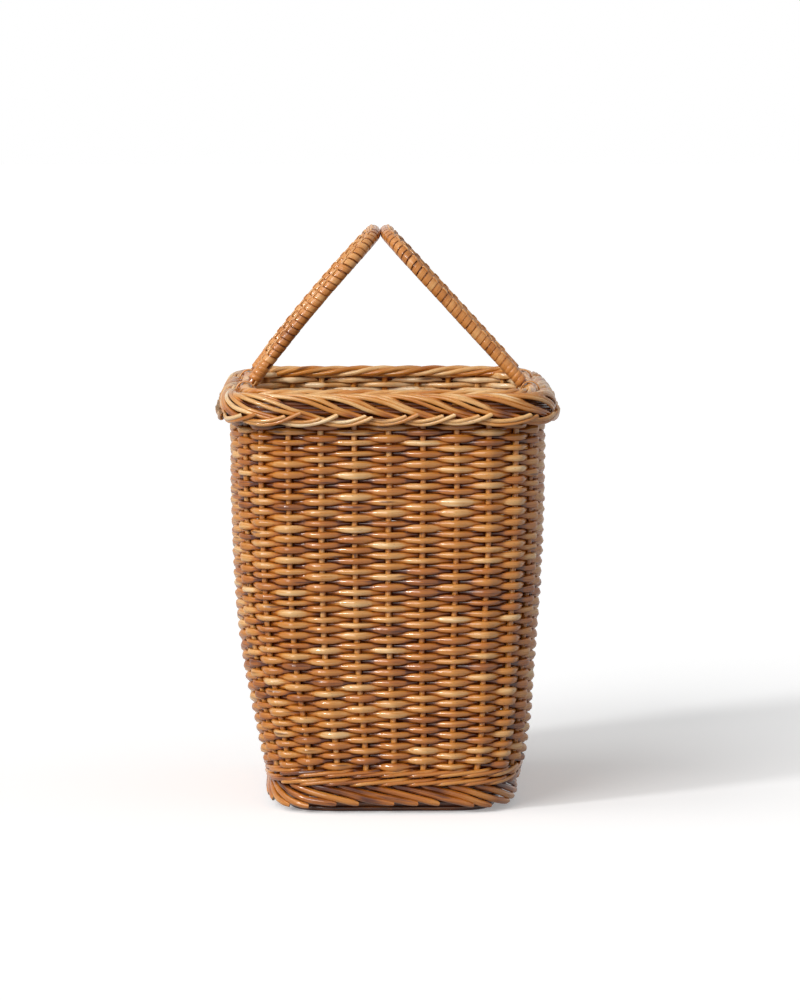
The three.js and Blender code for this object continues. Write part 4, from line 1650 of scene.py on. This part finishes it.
@dataclass(frozen=True)
class Studio:
    """White floor and backdrop, soft light from the left and an even sky.

    Attributes:
        camera_at: place of the camera.
        camera_aim: point in the middle of the picture.
        lens: focal length on a 36 mm sensor.
        lamps: the suns.
        sky_strength: strength of the sky for the object and the floor.
        floor_reach: half size of the floor.
        floor_bounce: how white the floor is to the light that it throws back on the object.
        floor_glow: what the floor adds to its own colour where it is looked at.
    """

    camera_at: Triple = (-0.0383, -4.07, 0.5959)
    camera_aim: Triple = (0.0089, -0.176, 0.2586)
    lens: float = 175.0
    lamps: tuple[SoftSun, ...] = (
        SoftSun("low_sun", (-0.700, -0.587, 0.407), math.radians(9.0), 1.20),
        SoftSun("low_window", (-0.480, -0.769, 0.423), math.radians(34.0), 1.60),
        SoftSun("high_window", (-0.60, -0.10, 0.79), math.radians(35.0), 0.45),
        SoftSun("far_fill", (0.80, -0.50, 0.34), math.radians(110.0), 0.30),
    )
    sky_strength: float = 0.24
    floor_reach: float = 30.0
    floor_bounce: float = 0.30
    floor_glow: float = 0.270

    def build(self) -> None:
        """Makes the camera, the light and the floor."""
        bpy.context.scene.view_settings.view_transform = "Standard"
        self.build_camera()
        self.build_light()
        self.build_floor()

    def build_camera(self) -> None:
        """Puts the camera at the photograph's view."""
        camera = bpy.data.objects.new("camera", bpy.data.cameras.new("camera"))
        camera.data.lens = self.lens
        camera.data.clip_start, camera.data.clip_end = 0.1, 100.0
        camera.location = self.camera_at
        look = Vector(self.camera_aim) - Vector(self.camera_at)
        camera.rotation_euler = look.to_track_quat("-Z", "Y").to_euler()
        bpy.context.scene.collection.objects.link(camera)
        bpy.context.scene.camera = camera

    def shows_backdrop(self, board: NodeBoard) -> Socket:
        """Tells the rays that look at the backdrop from those that light the object.

        Args:
            board: board of the floor or of the sky.

        Returns:
            1 for rays that look straight at the backdrop, see it mirrored or through something.
        """
        path = board.add("ShaderNodeLightPath")
        seen = board.math("MAXIMUM", path.outputs["Is Camera Ray"], path.outputs["Is Glossy Ray"])
        return board.math("MAXIMUM", seen, path.outputs["Is Transmission Ray"])

    def build_light(self) -> None:
        """Adds the suns and the sky."""
        for lamp in self.lamps:
            lamp.build()
        world = bpy.data.worlds.new("white_sky")
        world.use_nodes = True
        bpy.context.scene.world = world
        board = NodeBoard(world.node_tree)
        seen = self.shows_backdrop(board)
        strength = board.remap(seen, 0.0, 1.0, self.sky_strength, 1.0)
        sky = board.add("ShaderNodeBackground", Color=(1.0, 1.0, 1.0, 1.0), Strength=strength)
        board.add("ShaderNodeOutputWorld", Surface=sky.outputs[0])

    def build_floor(self) -> None:
        """Lays the white floor, which keeps the basket's shadow."""
        mesh = bpy.data.meshes.new("floor")
        reach = self.floor_reach
        corners = [(-reach, -reach, 0), (reach, -reach, 0), (reach, reach, 0), (-reach, reach, 0)]
        mesh.from_pydata(corners, [], [(0, 1, 2, 3)])
        material, board = NodeBoard.of_material("white_floor")
        seen = self.shows_backdrop(board)
        shade = board.remap(seen, 0.0, 1.0, self.floor_bounce, 1.0)
        glow = board.math("MULTIPLY", seen, self.floor_glow)
        white = board.add("ShaderNodeBsdfDiffuse", Color=shade)
        lit = board.add("ShaderNodeEmission", Strength=glow)
        both = board.add("ShaderNodeAddShader", None, {0: white.outputs[0], 1: lit.outputs[0]})
        board.add("ShaderNodeOutputMaterial", Surface=both.outputs[0])
        mesh.materials.append(material)
        floor = bpy.data.objects.new("floor", mesh)
        bpy.context.scene.collection.objects.link(floor)


def main() -> None:
    """Builds the studio and every part of the basket, in order from the foot to the handles."""
    logging.basicConfig(level=logging.INFO, format="%(message)s")
    Studio().build()
    willows = (Slot.WEAVE, Slot.STAKES, Slot.BORDER, Slot.FOOT, Slot.HANDLE_ROD)
    weave, stakes, border, foot, rod = (VarnishedWillow(slot.value).build() for slot in willows)
    cane = GlossyCane(Slot.HANDLE_CANE.value).build()
    low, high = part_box("rim_roll")
    hinge = (low.z + high.z) / 2.0
    joints = {joint["child"]: joint for joint in frame["joints"]}
    FootBorder(foot).build()
    TwistedWales(foot).build()
    WovenBase(weave, stakes).build()
    room = LegRoom(hinge)
    UprightStakes(stakes, room, hinge - 3.0 * MM).build()
    WovenWall(weave, room).build()
    RimPlait(border, room).build()
    InnerRoll(border, hinge + 1.6 * MM).build()
    for name, side, bow in (("handle_left", -1, 2.4 * MM), ("handle_right", 1, 0.0)):
        across = abs(joints[name]["pos_m"][0])
        WrappedHandle(name, side, rod, cane, hinge, across, cad_box[1].z, bow=bow).build()


if __name__ == "__main__":
    main()
